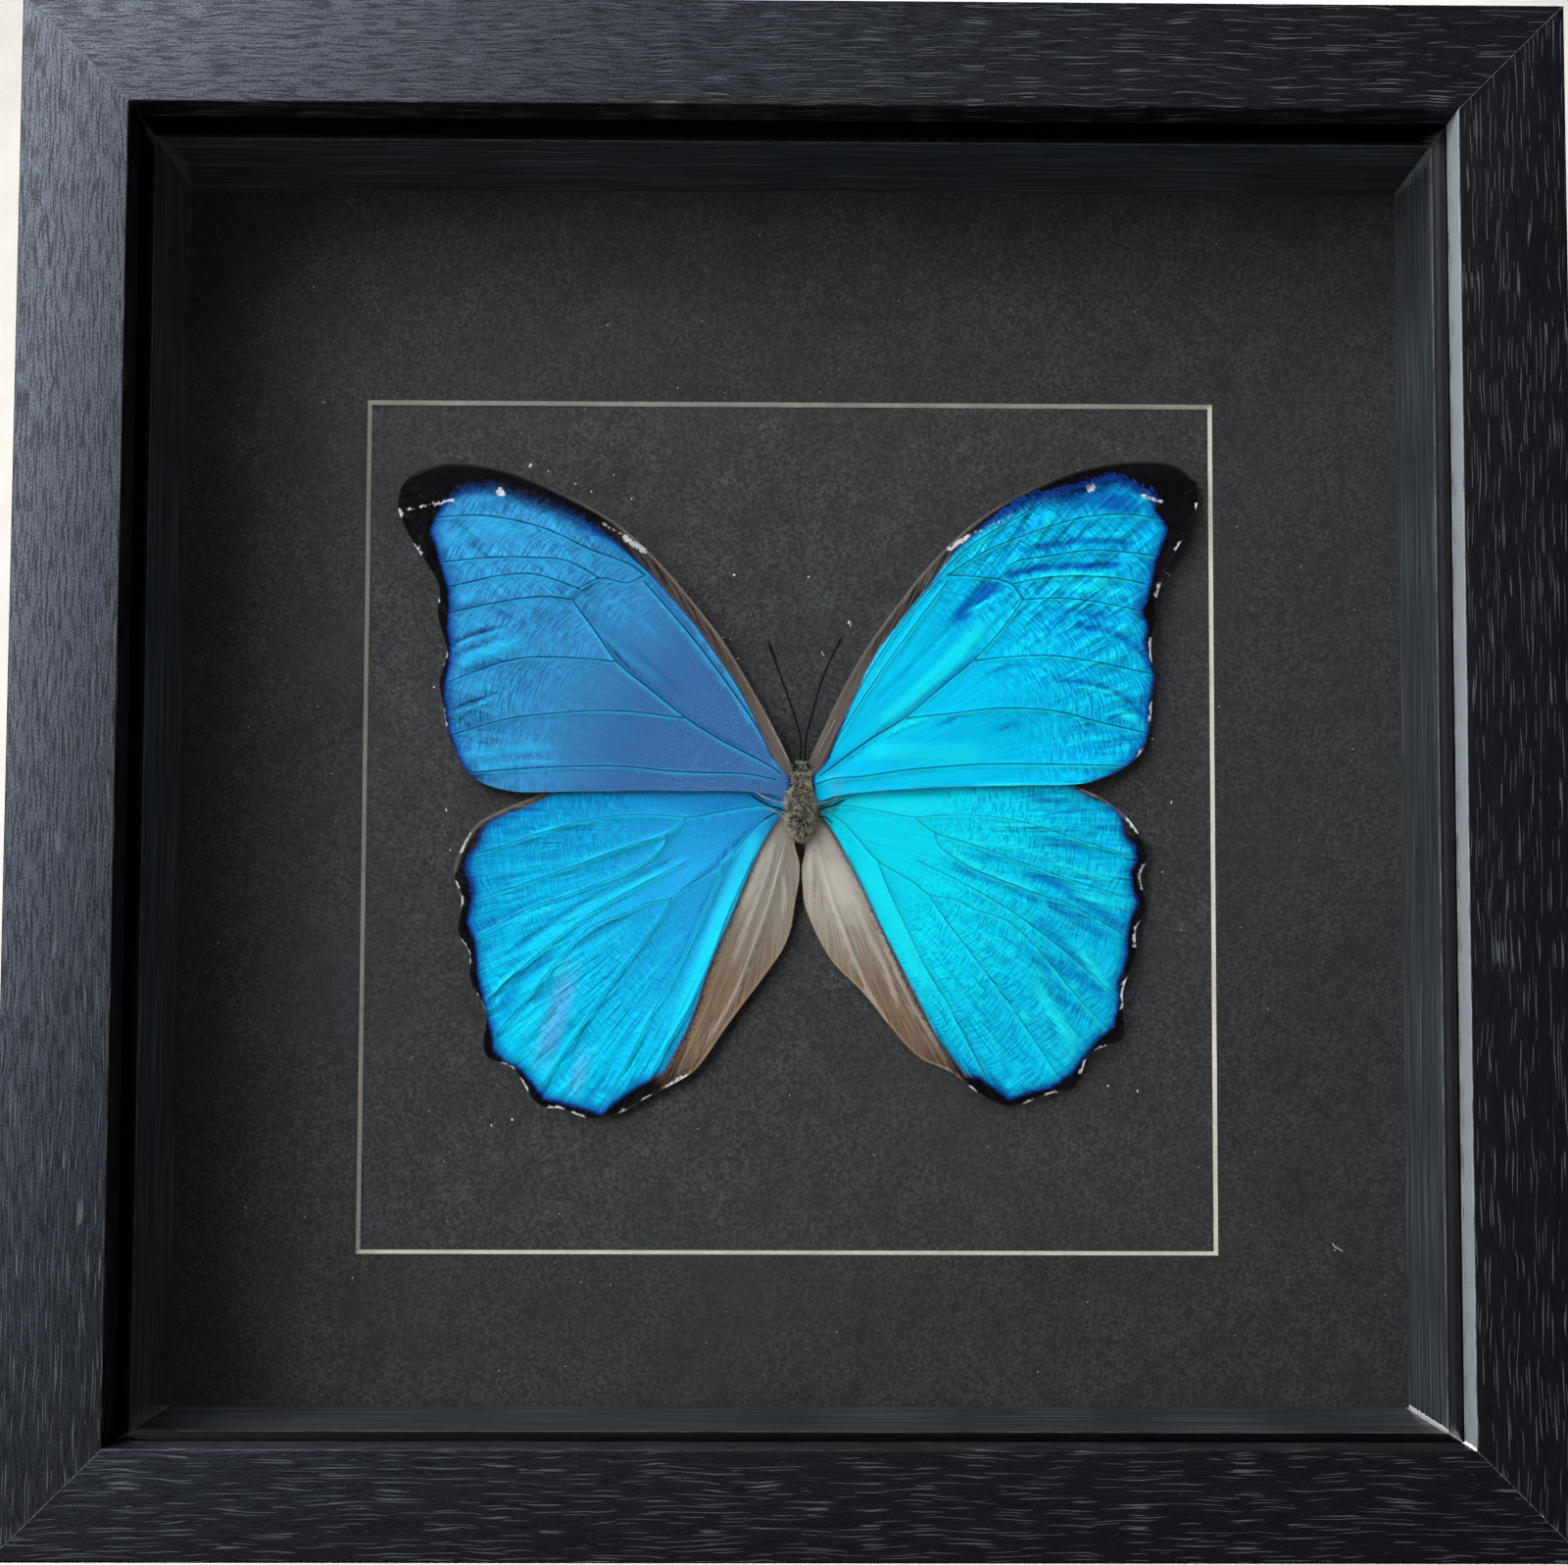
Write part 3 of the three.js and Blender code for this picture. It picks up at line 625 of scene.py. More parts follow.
# The blues are painted light: each wing's iridescent blue is drawn as bright as it catches the
# light at its own tilt, the left forewing a dull steel blue, the rest bright cyan.
FORE_LEFT = WingScales("left forewing scales", near="#3c6ca2", far="#3ea2de",
                       bright="#2cbcf2", shade="#184a86", pleats=(46.0, 57.0),
                       ripples=(32.0, 54.0), length=64.0)
FORE_RIGHT = WingScales("right forewing scales", near="#00d6ff", far="#00c8ff",
                        bright="#18f4ff", shade="#045cb8", pleats=(36.0, 58.0),
                        ripples=(28.0, 50.0), loose="#3ae0ff", vein="#064a86", costa="#191416",
                        dust="#0a2f7a", length=66.0)
HIND_LEFT = WingScales("left hindwing scales", near="#1eb0ee", far="#00d6ff",
                       bright="#16e0ff", shade="#0c66b6", pleats=(24.0, 44.0),
                       ripples=(18.0, 34.0), vein="#0a4c8a", crisp=0.6, ruffle=0.6,
                       fold="#a0968e", lee=0.6, length=56.0)
HIND_RIGHT = WingScales("right hindwing scales", near="#00eeff", far="#00d6ff",
                        bright="#1ef0ff", shade="#0472c4", pleats=(22.0, 44.0),
                        ripples=(14.0, 30.0), vein="#0868a0", crisp=0.55,
                        loose="#3ae8ff", fold="#c4bab0", length=58.0)

_made: dict[Any, bpy.types.Material] = {}


def made(finish: Any) -> bpy.types.Material:
    """Builds a finish once and hands back its material."""
    key = finish.value if isinstance(finish, Finish) else finish
    if key not in _made:
        _made[key] = key.build()
    return _made[key]


# ------------------------------------------------------------------- flat geometry
def smooth_path(knots: Path, step: float, closed: bool = False) -> np.ndarray:
    """A centripetal Catmull-Rom curve through knots.

    Args:
        knots: Points to pass through.
        step: Spacing of the points handed back, in mm.
        closed: Whether the last knot joins the first.

    Returns:
        An (n, 2) array of evenly spaced points.
    """
    between_knots = 24
    points = np.array(knots, float)
    if closed:
        padded = np.vstack([points[-1:], points, points[:2]])
    else:
        padded = np.vstack([2 * points[0] - points[1], points, 2 * points[-1] - points[-2]])
    pieces = []
    for i in range(1, len(padded) - 2):
        p = padded[i - 1 : i + 3]
        gaps = np.maximum(np.sqrt(np.linalg.norm(np.diff(p, axis=0), axis=1)), 1e-4)
        t = np.concatenate([[0.0], np.cumsum(gaps)])
        u = np.linspace(t[1], t[2], between_knots, endpoint=False)[:, None]
        a = [(t[k + 1] - u) / gaps[k] * p[k] + (u - t[k]) / gaps[k] * p[k + 1]
             for k in range(3)]
        b = [(t[k + 2] - u) / (t[k + 2] - t[k]) * a[k]
             + (u - t[k]) / (t[k + 2] - t[k]) * a[k + 1] for k in range(2)]
        pieces.append((t[2] - u) / gaps[1] * b[0] + (u - t[1]) / gaps[1] * b[1])
    dense = np.vstack(pieces + [padded[-2:-1] if not closed else pieces[0][:1]])
    run = np.concatenate([[0], np.cumsum(np.linalg.norm(np.diff(dense, axis=0), axis=1))])
    count = max(2, int(run[-1] / step))
    marks = np.linspace(0, run[-1], count, endpoint=not closed)
    return np.stack([np.interp(marks, run, dense[:, k]) for k in (0, 1)], axis=1)


def distance_to(points: np.ndarray, path: np.ndarray, closed: bool = False) -> np.ndarray:
    """The distance from each point to a polyline."""
    ends = np.vstack([path, path[:1]]) if closed else path
    best = np.full(len(points), np.inf)
    for a, b in zip(ends[:-1], ends[1:]):
        along = b - a
        share = np.clip(((points - a) @ along) / max(along @ along, 1e-12), 0, 1)
        gap = points - a - share[:, None] * along
        best = np.minimum(best, np.hypot(gap[:, 0], gap[:, 1]))
    return best


def banded(points: np.ndarray, bands: Bands) -> np.ndarray:
    """How strongly the strongest of some bands covers each point.

    Args:
        points: The points.
        bands: The bands, which are soft at their edges and fade over the last 4 mm at
            their tips.

    Returns:
        One share for each point, 0 to 1.
    """
    level = np.zeros(len(points))
    for radius, strength, *trace in bands:
        line = smooth_path(pairs(trace), 1.5)
        tips = np.min([np.hypot(*(points - end).T) for end in (line[0], line[-1])], axis=0)
        fade = np.clip(0.2 + tips / 4, 0, 1)
        share = np.clip(1.25 - distance_to(points, line) / radius, 0, 1) * fade
        level = np.maximum(level, strength * share * share * (3 - 2 * share))
    return level


def within(points: np.ndarray, polygon: np.ndarray) -> np.ndarray:
    """Whether each point lies in a polygon."""
    inside = np.zeros(len(points), bool)
    x, y = points[:, 0], points[:, 1]
    for (x1, y1), (x2, y2) in zip(polygon, np.roll(polygon, -1, axis=0)):
        if y1 != y2:
            crosses = (y1 > y) != (y2 > y)
            inside ^= crosses & (x < (x2 - x1) * (y - y1) / (y2 - y1) + x1)
    return inside


def signed_distance(points: np.ndarray, polygon: np.ndarray) -> np.ndarray:
    """The distance to a polygon's edge, positive inside it."""
    gap = distance_to(points, polygon, closed=True)
    return np.where(within(points, polygon), gap, -gap)


def pairs(trace: Trace) -> list[Point2]:
    """A trace's points."""
    return list(zip(trace[::2], trace[1::2]))


def mirrored(trace: Trace, axis: float, stretch: float) -> list[float]:
    """A trace mirrored left to right about an axis, and stretched upwards."""
    return [n * stretch if k % 2 else 2 * axis - n for k, n in enumerate(trace)]


# ----------------------------------------------------------------- Blender objects
def mesh_object(
    name: str,
    vertices: Sequence[Any],
    faces: Sequence[Sequence[int]],
    materials: Sequence[Any],
    sharp_above: float | None = 40.0,
) -> bpy.types.Object:
    """Makes a linked mesh object.

    Args:
        name: The object's name.
        vertices: Points in metres.
        faces: Loops of vertex numbers, anticlockwise from outside.
        materials: Finishes, in slot order.
        sharp_above: Edges sharper than this many degrees stay hard; None is flat.

    Returns:
        The object.
    """
    mesh = bpy.data.meshes.new(name)
    mesh.from_pydata([tuple(v) for v in vertices], [], [tuple(f) for f in faces])
    for finish in materials:
        mesh.materials.append(made(finish))
    if sharp_above is not None:
        mesh.shade_smooth()
        mesh.set_sharp_from_angle(angle=math.radians(sharp_above))
    mesh.update()
    thing = bpy.data.objects.new(name, mesh)
    bpy.context.scene.collection.objects.link(thing)
    return thing


def carry(mesh: bpy.types.Mesh, name: str, values: Sequence[float]) -> None:
    """Stores one number on each vertex."""
    attribute = mesh.attributes.new(name, "FLOAT", "POINT")
    attribute.data.foreach_set("value", np.asarray(values, np.float32))


def hand_over(piece: bpy.types.Object, slot: str, *nodes: str) -> bpy.types.Object:
    """Fixes a finished piece to the frame, in place of CAD nodes."""
    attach(piece, BODY)
    if nodes:
        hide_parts(*nodes)
    LOG.info("%s: %d faces", piece.name, len(piece.data.polygons))
    return piece


def swept_tube(
    centres: Sequence[Vector], radius: Callable[[float], float], sides: int
) -> tuple[list[Vector], list[tuple[int, ...]]]:
    """A closed tube along points.

    Args:
        centres: The centre line.
        radius: Radius at a share of the length, in metres.
        sides: Facets round it.

    Returns:
        Vertices and faces.
    """
    vertices: list[Vector] = []
    faces: list[tuple[int, ...]] = []
    last = len(centres) - 1
    side = Vector((1, 0, 0))
    for i, centre in enumerate(centres):
        ahead = (centres[min(i + 1, last)] - centres[max(i - 1, 0)]).normalized()
        side = (side - ahead * side.dot(ahead)).normalized()
        up = ahead.cross(side)
        for k in range(sides):
            angle = 2 * math.pi * k / sides
            reach = radius(i / last)
            vertices.append(centre + (side * math.cos(angle) + up * math.sin(angle)) * reach)
    for i in range(last):
        for k in range(sides):
            a, b = i * sides + k, i * sides + (k + 1) % sides
            faces.append((a, b, b + sides, a + sides))
    faces.append(tuple(reversed(range(sides))))
    faces.append(tuple(range(last * sides, (last + 1) * sides)))
    return vertices, faces


def append_tube(vertices: list[Vector], faces: list[tuple[int, ...]],
                centres: Sequence[Vector], radius: float, sides: int) -> None:
    """Adds a closed tube of one radius to a mesh's lists.

    Args:
        vertices: The mesh's vertices, which the tube's are added to.
        faces: The mesh's faces, likewise.
        centres: The centre line.
        radius: The radius in mm.
        sides: Facets round it.
    """
    start = len(vertices)
    tube, loops = swept_tube(centres, lambda share: radius * MM, sides)
    vertices += tube
    faces += [tuple(i + start for i in loop) for loop in loops]


# ----------------------------------------------------------------------- the frame
class Side(Enum):
    """The four sides of the frame, by the quarter turns that take the bottom one there."""

    BOTTOM = 0
    RIGHT = 1
    TOP = 2
    LEFT = 3

    def turned(self, along: float, out: float) -> Point2:
        """Turns a point of the bottom side (along it, and out from the middle)."""
        x, z = along, -out
        for _ in range(self.value):
            x, z = -z, x
        return x, z


@dataclass
class MitredStrip:
    """Four mitred strips of one section, such as a frame's rails.

    torn says how far the pale core shows at each side's two mitres, in mm, lip_tear how
    much further on the innermost face. That face is painted pale, by side, as a highlight
    where light falls on it, less so further back. Down to the depth edged_to a strip is
    dark instead, and behind that runs a pale line, a painted reflection of the lip's lit
    edge in the glass.
    """

    prefix: str
    slot: str
    finish: Finish
    section: list[Point2]
    gap: float
    steps: int = 56
    raw_end: Finish | None = None
    torn: dict[Side, Point2] = field(default_factory=dict)
    lip_tear: float = 0.0
    lip_highlight: dict[Side, float] = field(default_factory=dict)
    edged_to: float = 0.0

    # The vertex number "lip" where a strip is dark, how far behind the dark edge the
    # pale line, a painted reflection, runs, in mm, and how much wider than a mitre's it is.
    dark: ClassVar[float] = 1.6
    behind: ClassVar[float] = 0.45
    reflection_widened: ClassVar[float] = 0.4

    def build(self) -> None:
        """Builds the four strips in place of their CAD nodes."""
        for side in Side:
            node = f"{self.prefix}_{side.name.lower()}"
            piece = self._strip(side, f"{node}_dressed")
            hand_over(piece, self.slot, node)

    def _strip(self, side: Side, name: str) -> bpy.types.Object:
        """Sweeps the section along one side, cut to 45 degrees at both ends."""
        count = len(self.section)
        vertices, mitre, chip, lip, stations = [], [], [], [], []
        torn = self.torn.get(side, (-FAR_OFF, -FAR_OFF))
        inmost = min(out for out, _ in self.section)
        for i in range(self.steps + 1):
            share = 2 * i / self.steps - 1
            for out, depth in self.section:
                reach = out - self.gap
                x, z = side.turned(share * reach, out)
                vertices.append(place(x, depth, z))
                to_end = reach * (1 - abs(share))
                # The face that looks at the specimen, eased over 0.25 mm.
                inner = max(0.0, 1 - (out - inmost) / 0.25)
                line, untorn = FAR_OFF, 0.0
                # Painted highlight: the innermost face is painted pale on the sides that face
                # the light, less so further back.
                mark_or_highlight = self.lip_highlight.get(side, 0.0) * inner * (1 - 0.1 * depth)
                # The pale line behind the dark edge is a painted reflection of the lip's lit
                # edge in the glass.
                if self.edged_to:
                    line = abs(depth - self.edged_to - self.behind) * self.reflection_widened
                if depth < self.edged_to:
                    mark_or_highlight, untorn = self.dark, FAR_OFF
                mitre.append(min(to_end, line))
                chip.append(to_end - torn[share > 0] - self.lip_tear * inner + untorn)
                lip.append(mark_or_highlight)
                stations.append(share * reach)
        faces = []
        for i in range(self.steps):
            for k in range(count):
                a, b = i * count + k, i * count + (k + 1) % count
                faces.append((a, a + count, b + count, b))
        faces.append(tuple(range(count)))
        faces.append(tuple(reversed(range(self.steps * count, (self.steps + 1) * count))))
        materials = [self.finish] + ([self.raw_end] if self.raw_end else [])
        piece = mesh_object(name, vertices, faces, materials, sharp_above=35)
        mesh = piece.data
        for key, values in (("mitre", mitre), ("chip", chip), ("lip", lip)):
            carry(mesh, key, values)
        around = [0.0]
        for (d1, h1), (d2, h2) in zip(self.section, self.section[1:] + self.section[:1]):
            around.append(around[-1] + math.hypot(d2 - d1, h2 - h1))
        uv = mesh.uv_layers.new(name="Grain")
        # Each side is cut from another stretch of foil.
        shift = 400.0 * side.value
        for face in mesh.polygons:
            sweep = face.index < self.steps * count
            for corner in face.loop_indices:
                vertex = mesh.loops[corner].vertex_index
                ring = vertex % count
                wraps = sweep and face.index % count == count - 1 and ring == 0
                uv.data[corner].uv = (stations[vertex] + shift,
                                      around[count if wraps else ring] + shift / 7)
            if not sweep and self.raw_end:
                face.material_index = 1
        return piece


def arc(centre: Point2, radius: float, start: float, end: float, steps: int) -> list[Point2]:
    """Points on an arc, angles in degrees."""
    turns = [math.radians(start + (end - start) * i / steps) for i in range(steps + 1)]
    return [(centre[0] + radius * math.cos(t), centre[1] + radius * math.sin(t)) for t in turns]


def rail_section() -> list[Point2]:
    """The rail's section: (out from the middle, depth), clockwise seen along the rail."""
    outer, inner = 0.45, 0.35
    return [
        (FRAME_HALF, RAIL_DEPTH - 0.3),
        *arc((FRAME_HALF - outer, outer), outer, 0, -90, 6),
        *arc((SIGHT_HALF + inner, inner), inner, -90, -180, 8),
        (SIGHT_HALF, LIP_DEPTH - 0.15),
        (SIGHT_HALF + 0.15, LIP_DEPTH),
        (RABBET_HALF, LIP_DEPTH),
        (RABBET_HALF, RAIL_DEPTH - 0.2),
        (RABBET_HALF + 0.2, RAIL_DEPTH),
        (FRAME_HALF - 0.3, RAIL_DEPTH),
    ]


def spacer_section() -> list[Point2]:
    """The spacer's section, with slightly eased front and back edges."""
    return [
        (SHEET_HALF, SPACER_BACK),
        (SHEET_HALF, SPACER_FRONT),
        (SPACER_HALF + 0.25, SPACER_FRONT),
        (SPACER_HALF, SPACER_FRONT + 0.25),
        (SPACER_HALF, EDGE_SHADE - 0.1),
        (SPACER_HALF, EDGE_SHADE + 0.1),
        (SPACER_HALF, EDGE_SHADE + MitredStrip.behind),
        (SPACER_HALF, EDGE_SHADE + 0.8),
        (SPACER_HALF, SPACER_BACK - 0.15),
        (SPACER_HALF + 0.15, SPACER_BACK),
    ]


@dataclass
class WindowMat:
    """The mat: black paper face and back, and a bevel that shows the cream core."""

    window: tuple[float, float, float, float] = WINDOW

    def build(self) -> None:
        """Builds the mat as rings of quads from the outer edge to the back."""
        left, right, bottom, top = self.window
        cut = (left + BEVEL, right - BEVEL, bottom + BEVEL, top - BEVEL)
        half = SHEET_HALF
        rings = [
            ((-half, half, -half, half), MAT_BACK),
            ((-half, half, -half, half), MAT_FRONT),
            ((left, right, bottom, top), MAT_FRONT),
            (cut, MAT_BACK),
        ]
        vertices = []
        for (x1, x2, z1, z2), depth in rings:
            vertices += [place(*p) for p in ((x1, depth, z1), (x2, depth, z1),
                                             (x2, depth, z2), (x1, depth, z2))]
        faces = []
        for ring in range(4):
            ahead = (ring + 1) % 4
            for k in range(4):
                j = (k + 1) % 4
                faces.append((ring * 4 + k, ring * 4 + j, ahead * 4 + j, ahead * 4 + k))
        piece = mesh_object("window_mat_dressed", vertices, faces,
                            [Finish.MAT, Finish.CORE], sharp_above=20)
        for face in piece.data.polygons:
            face.material_index = 1 if face.index // 4 in (0, 2) else 0
        hand_over(piece, "mat", "window_mat")


@dataclass
class PlainPieces:
    """CAD nodes that keep their shape and take a better material."""

    finishes: dict[str, Finish]

    def build(self, nodes: dict[str, bpy.types.Object]) -> None:
        """Gives each node whose name starts with a key that key's finish."""
        for name, thing in nodes.items():
            for start, finish in self.finishes.items():
                if name.startswith(start):
                    thing.data.materials.clear()
                    thing.data.materials.append(made(finish))
                    LOG.info("%s: %s", name, made(finish).name)


# -------------------------------------------------------------------- the specimen
@dataclass
class Wing:
    """One wing: its sheet, the veins and folds in it, and where its colours change.

    blue is the outline of the blue field, bare that of the inner-edge membranes, marks are
    (from, to, radius). shades and gleams are bands of painted shade and painted highlight
    on the blue, along pleats and folds, and blooms bands where it is scuffed. height is the
    root's above the card, droop how much lower the tip is, and the sheet has waves waves of
    height wave round the root.
    """

    name: str
    slot: str
    finish: WingScales
    root: Point2
    height: float
    waves: int
    outline: Trace
    veins: list[Trace]
    folds: list[Trace]
    blue: Trace
    bare: Trace
    marks: list[tuple[float, float, float, float, float]]
    front_knots: int
    shades: Bands
    gleams: Bands
    blooms: Bands = ()
    droop: float = 0.5
    wave: float = 0.2
    cell: float = 0.62
    thickness: float = 0.16
    # Relief: height and half width in mm of a vein's ridge, of the sag beside it and of
    # a fold's groove.
    ridge: Point2 = (0.13, 0.3)
    sag: Point2 = (0.10, 1.4)
    groove: Point2 = (0.16, 0.35)

    def build(self) -> None:
        """Builds the sheet in place of its CAD node."""
        rim = smooth_path(pairs(self.outline), 0.5, closed=True)
        lines = [smooth_path(pairs(v), 0.55) for v in self.veins + self.folds]
        flat, triangles, edge = self._triangulate(rim, lines)
        vein = np.min([distance_to(flat, line) for line in lines[: len(self.veins)]], axis=0)
        crease = np.min([distance_to(flat, line) for line in lines[len(self.veins):]], axis=0)
        brim = distance_to(flat, rim, closed=True)
        reach, angle = self._around_root(flat)
        height = self._height(reach, angle)
        height += self.ridge[0] * np.exp(-((vein / self.ridge[1]) ** 2))
        height -= self.sag[0] * (1 - np.exp(-vein / self.sag[1]))
        height -= self.groove[0] * np.exp(-((crease / self.groove[1]) ** 2))
        front = [place(x, CARD_FRONT - h, z) for (x, z), h in zip(flat, height)]
        back = [v + Vector((0, self.thickness * MM, 0)) for v in front]
        count = len(flat)
        faces = [tuple(t) for t in triangles]
        faces += [tuple(i + count for i in reversed(t)) for t in triangles]
        faces += [(a, a + count, b + count, b) for a, b in edge]
        piece = mesh_object(f"{self.name}_scaled", front + back, faces, [self.finish],
                            sharp_above=60)
        marks = np.min([distance_to(flat, np.array([m[:2], m[2:4]])) - m[4]
                        for m in self.marks], axis=0)
        ahead = smooth_path(pairs(self.outline)[: self.front_knots], 1.0)
        numbers = {
            "vein": vein,
            "rim": brim,
            "reach": reach,
            # The way round the root, as an arc 40 mm from it.
            "turn": angle * 40,
            "mark": marks,
            "field": signed_distance(flat, np.array(pairs(self.blue))),
            "anal": signed_distance(flat, np.array(pairs(self.bare))),
            "front": distance_to(flat, ahead),
            "shade": banded(flat, self.shades),
            # Light also catches the lower flank of each vein.
            "gleam": banded(flat, [*self.gleams, *(
                (0.3, 0.5, *(n - 0.42 * (k % 2) for k, n in enumerate(v)))
                for v in self.veins)]),
            "bloom": banded(flat, self.blooms),
        }
        for key, values in numbers.items():
            carry(piece.data, key, np.concatenate([values, values]))
        hand_over(piece, self.slot, self.name)

    def _around_root(self, flat: np.ndarray) -> tuple[np.ndarray, np.ndarray]:
        """Each point's distance from the root and its angle round it."""
        offset = flat - np.array(self.root)
        return (np.hypot(offset[:, 0], offset[:, 1]),
                np.arctan2(offset[:, 1], np.abs(offset[:, 0])))

    def _height(self, reach: np.ndarray, angle: np.ndarray) -> np.ndarray:
        """The sheet's height above the card, from the place round the root."""
        # A wing is about 70 mm long.
        share = np.minimum(1, reach / 70)
        swell = self.wave * np.minimum(1, 3 * share) * np.cos(self.waves * angle)
        return self.height - self.droop * share**2 + swell

    def _triangulate(
        self, rim: np.ndarray, lines: list[np.ndarray]
    ) -> tuple[np.ndarray, list[list[int]], list[tuple[int, int]]]:
        """Fills the outline with triangles that follow the veins.

        Args:
            rim: The outline.
            lines: Veins and folds.

        Returns:
            Flat points, triangles facing the viewer, and the outline's edges in the
            direction that closes the sheet.
        """
        # Points stand in rows on each vein and 0.3 mm beside it, a grid fills the rest,
        # and points that would come too close to others, in mm, are left out.
        spine = np.vstack(lines)
        low, high = rim.min(0), rim.max(0)
        columns = np.arange(low[0], high[0], self.cell)
        rows = np.arange(low[1], high[1], self.cell * 0.87)
        grid = np.array([(x + (j % 2) * self.cell / 2, y) for j, y in enumerate(rows)
                         for x in columns])

        def apart(points: np.ndarray, from_rim: float) -> np.ndarray:
            """The points inside the rim that keep a distance from it."""
            points = points[within(points, rim)]
            return points[distance_to(points, rim, closed=True) > from_rim]

        shoulders = []
        for line in lines:
            run = np.gradient(line, axis=0)
            normal = np.stack([-run[:, 1], run[:, 0]], axis=1)
            normal /= np.maximum(np.linalg.norm(normal, axis=1, keepdims=True), 1e-9)
            shoulders += [line + normal * s for s in (-0.3, 0.3)]
        beside = np.vstack(shoulders)
        beside = beside[nearest(beside, spine) > 0.26]
        spine = apart(thinned(spine[within(spine, rim)], 0.3), 0.25)
        beside = thinned(apart(beside, 0.25), 0.25)
        grid = apart(grid, 0.35)
        grid = grid[nearest(grid, np.vstack([spine, beside])) > 0.42]
        flat = np.vstack([rim, spine, beside, grid])
        border = list(range(len(rim)))
        points, _, faces, *_ = delaunay_2d_cdt([Vector(p) for p in flat], [], [border], 1,
                                               1e-6)
        corners = np.array([tuple(p) for p in points])
        triangles = []
        for face in faces:
            for k in range(1, len(face) - 1):
                a, b, c = face[0], face[k], face[k + 1]
                (ax, ay), (bx, by), (cx, cy) = corners[[a, b, c]]
                turn = (bx - ax) * (cy - ay) - (by - ay) * (cx - ax)
                triangles.append([a, b, c] if turn > 0 else [a, c, b])
        directed = {(t[k], t[(k + 1) % 3]) for t in triangles for k in range(3)}
        edge = [(a, b) for a, b in directed if (b, a) not in directed]
        return corners, triangles, sorted(edge)


def nearest(points: np.ndarray, others: np.ndarray) -> np.ndarray:
    """The distance from each point to the nearest of others."""
    best = np.full(len(points), np.inf)
    # A chunk at a time, so that the table of distances stays small.
    for start in range(0, len(others), 200):
        chunk = others[start : start + 200]
        gaps = points[:, None, :] - chunk[None, :, :]
        best = np.minimum(best, np.sqrt((gaps**2).sum(2)).min(1))
    return best


def thinned(points: np.ndarray, spacing: float) -> np.ndarray:
    """Drops points that come closer than spacing to an earlier one."""
    kept: list[np.ndarray] = []
    cells: dict[tuple[int, int], list[np.ndarray]] = {}
    for point in points:
        home = (int(point[0] // spacing), int(point[1] // spacing))
        near = (p for i in (-1, 0, 1) for j in (-1, 0, 1)
                for p in cells.get((home[0] + i, home[1] + j), ()))
        if all(np.hypot(*(point - p)) >= spacing for p in near):
            kept.append(point)
            cells.setdefault(home, []).append(point)
    return np.array(kept)


FORE_VEINS = {
    "left": [
        (-2.1, 2.6, -4, 3.9, -8.4, 6.3, -13.1, 8.7, -18.5, 12.2, -25.2, 17.5, -31.1, 22.4,
         -34.9, 27.8, -39, 33.3),
        (-39, 33.3, -37.6, 35.2, -34, 37, -29.1, 36.2, -26.2, 37.6),
        (-18.5, 12.2, -22.3, 12.7, -29, 13.4, -36, 13.5, -42.9, 13, -48.4, 12.4, -53.2, 11.3,
         -60.4, 9),
        (-30.6, 22.2, -36.1, 22.7, -43, 23, -47.3, 22.8, -51.6, 21.9, -55, 20.7, -61.6, 18.2),
        (-39, 33.3, -43.1, 33.8, -46.6, 33.6, -53.4, 32.4, -62, 30.4),
        (-37.6, 35.2, -45.7, 37.8, -52.3, 37.4, -55.2, 36.7, -62, 35.1),
        (-34, 37, -40, 40.2, -46.6, 40.8, -54.4, 40.7, -57, 40.4, -64.5, 39.5),
        (-26.2, 37.6, -28.5, 39.3, -36.3, 42.4, -43.2, 45.7, -50.2, 47.6, -56.2, 48.3,
         -67.5, 47.4),
        (-2.9, 1.5, -8.4, 2.5, -15.3, 2.7, -22.2, 3, -29.1, 3.7, -42, 3.6, -58, 2.4),
        (-1.8, 4.2, -5.6, 10.5, -10.6, 19.4, -16.6, 28, -23.2, 35.8, -29.6, 41.8, -38, 47.8,
         -48, 52.4, -60, 55),
        (-1.9, 3.2, -6.6, 11.2, -12.4, 19.6, -18.6, 27.6, -26.2, 36.4),
    ],
    "right": [
        (4.8, 2.2, 13.3, 8.5, 19.6, 12.5, 26.2, 18.1, 31.6, 22.7, 36.4, 27.9, 40.6, 33.7),
        (40.6, 33.7, 38.2, 36.5, 33, 37.5, 27.1, 37.8),
        (19.6, 12.4, 28.1, 13.3, 36, 14.2, 45.5, 13.9, 55.4, 11.6, 62.4, 10),
        (31.6, 22.7, 38.1, 23.4, 45.6, 23.6, 53.9, 22.4, 63.2, 20.5),
        (40.6, 33.7, 48, 33.9, 55.5, 32.9, 63.8, 31),
        (38.2, 36.3, 44.6, 37.6, 51.5, 37.9, 57.9, 37.4, 64.2, 36),
        (36, 37.2, 39, 40.2, 45.1, 41.4, 52.1, 42.5, 59, 42.2, 66.2, 41.2),
        (27.1, 37.8, 33.1, 41.7, 41.1, 45.2, 48.1, 47.6, 53.8, 48.8, 60.6, 48.9, 69.5, 46.9),
        (4, 0.7, 7.1, 1.7, 12.2, 2.1, 19.1, 3.2, 26.2, 3.9, 34.6, 4.4, 46, 4.4, 58.6, 4.2),
        (4.2, 4.2, 7.8, 10.4, 12.6, 19.2, 17.6, 27.2, 23.6, 35.2, 30.6, 42.6, 39.1, 47.9,
         48, 53, 60, 56.4),
        (4.4, 3.2, 9.2, 11, 14.6, 19.4, 20.4, 27.6, 27.1, 36.6),
    ],
}
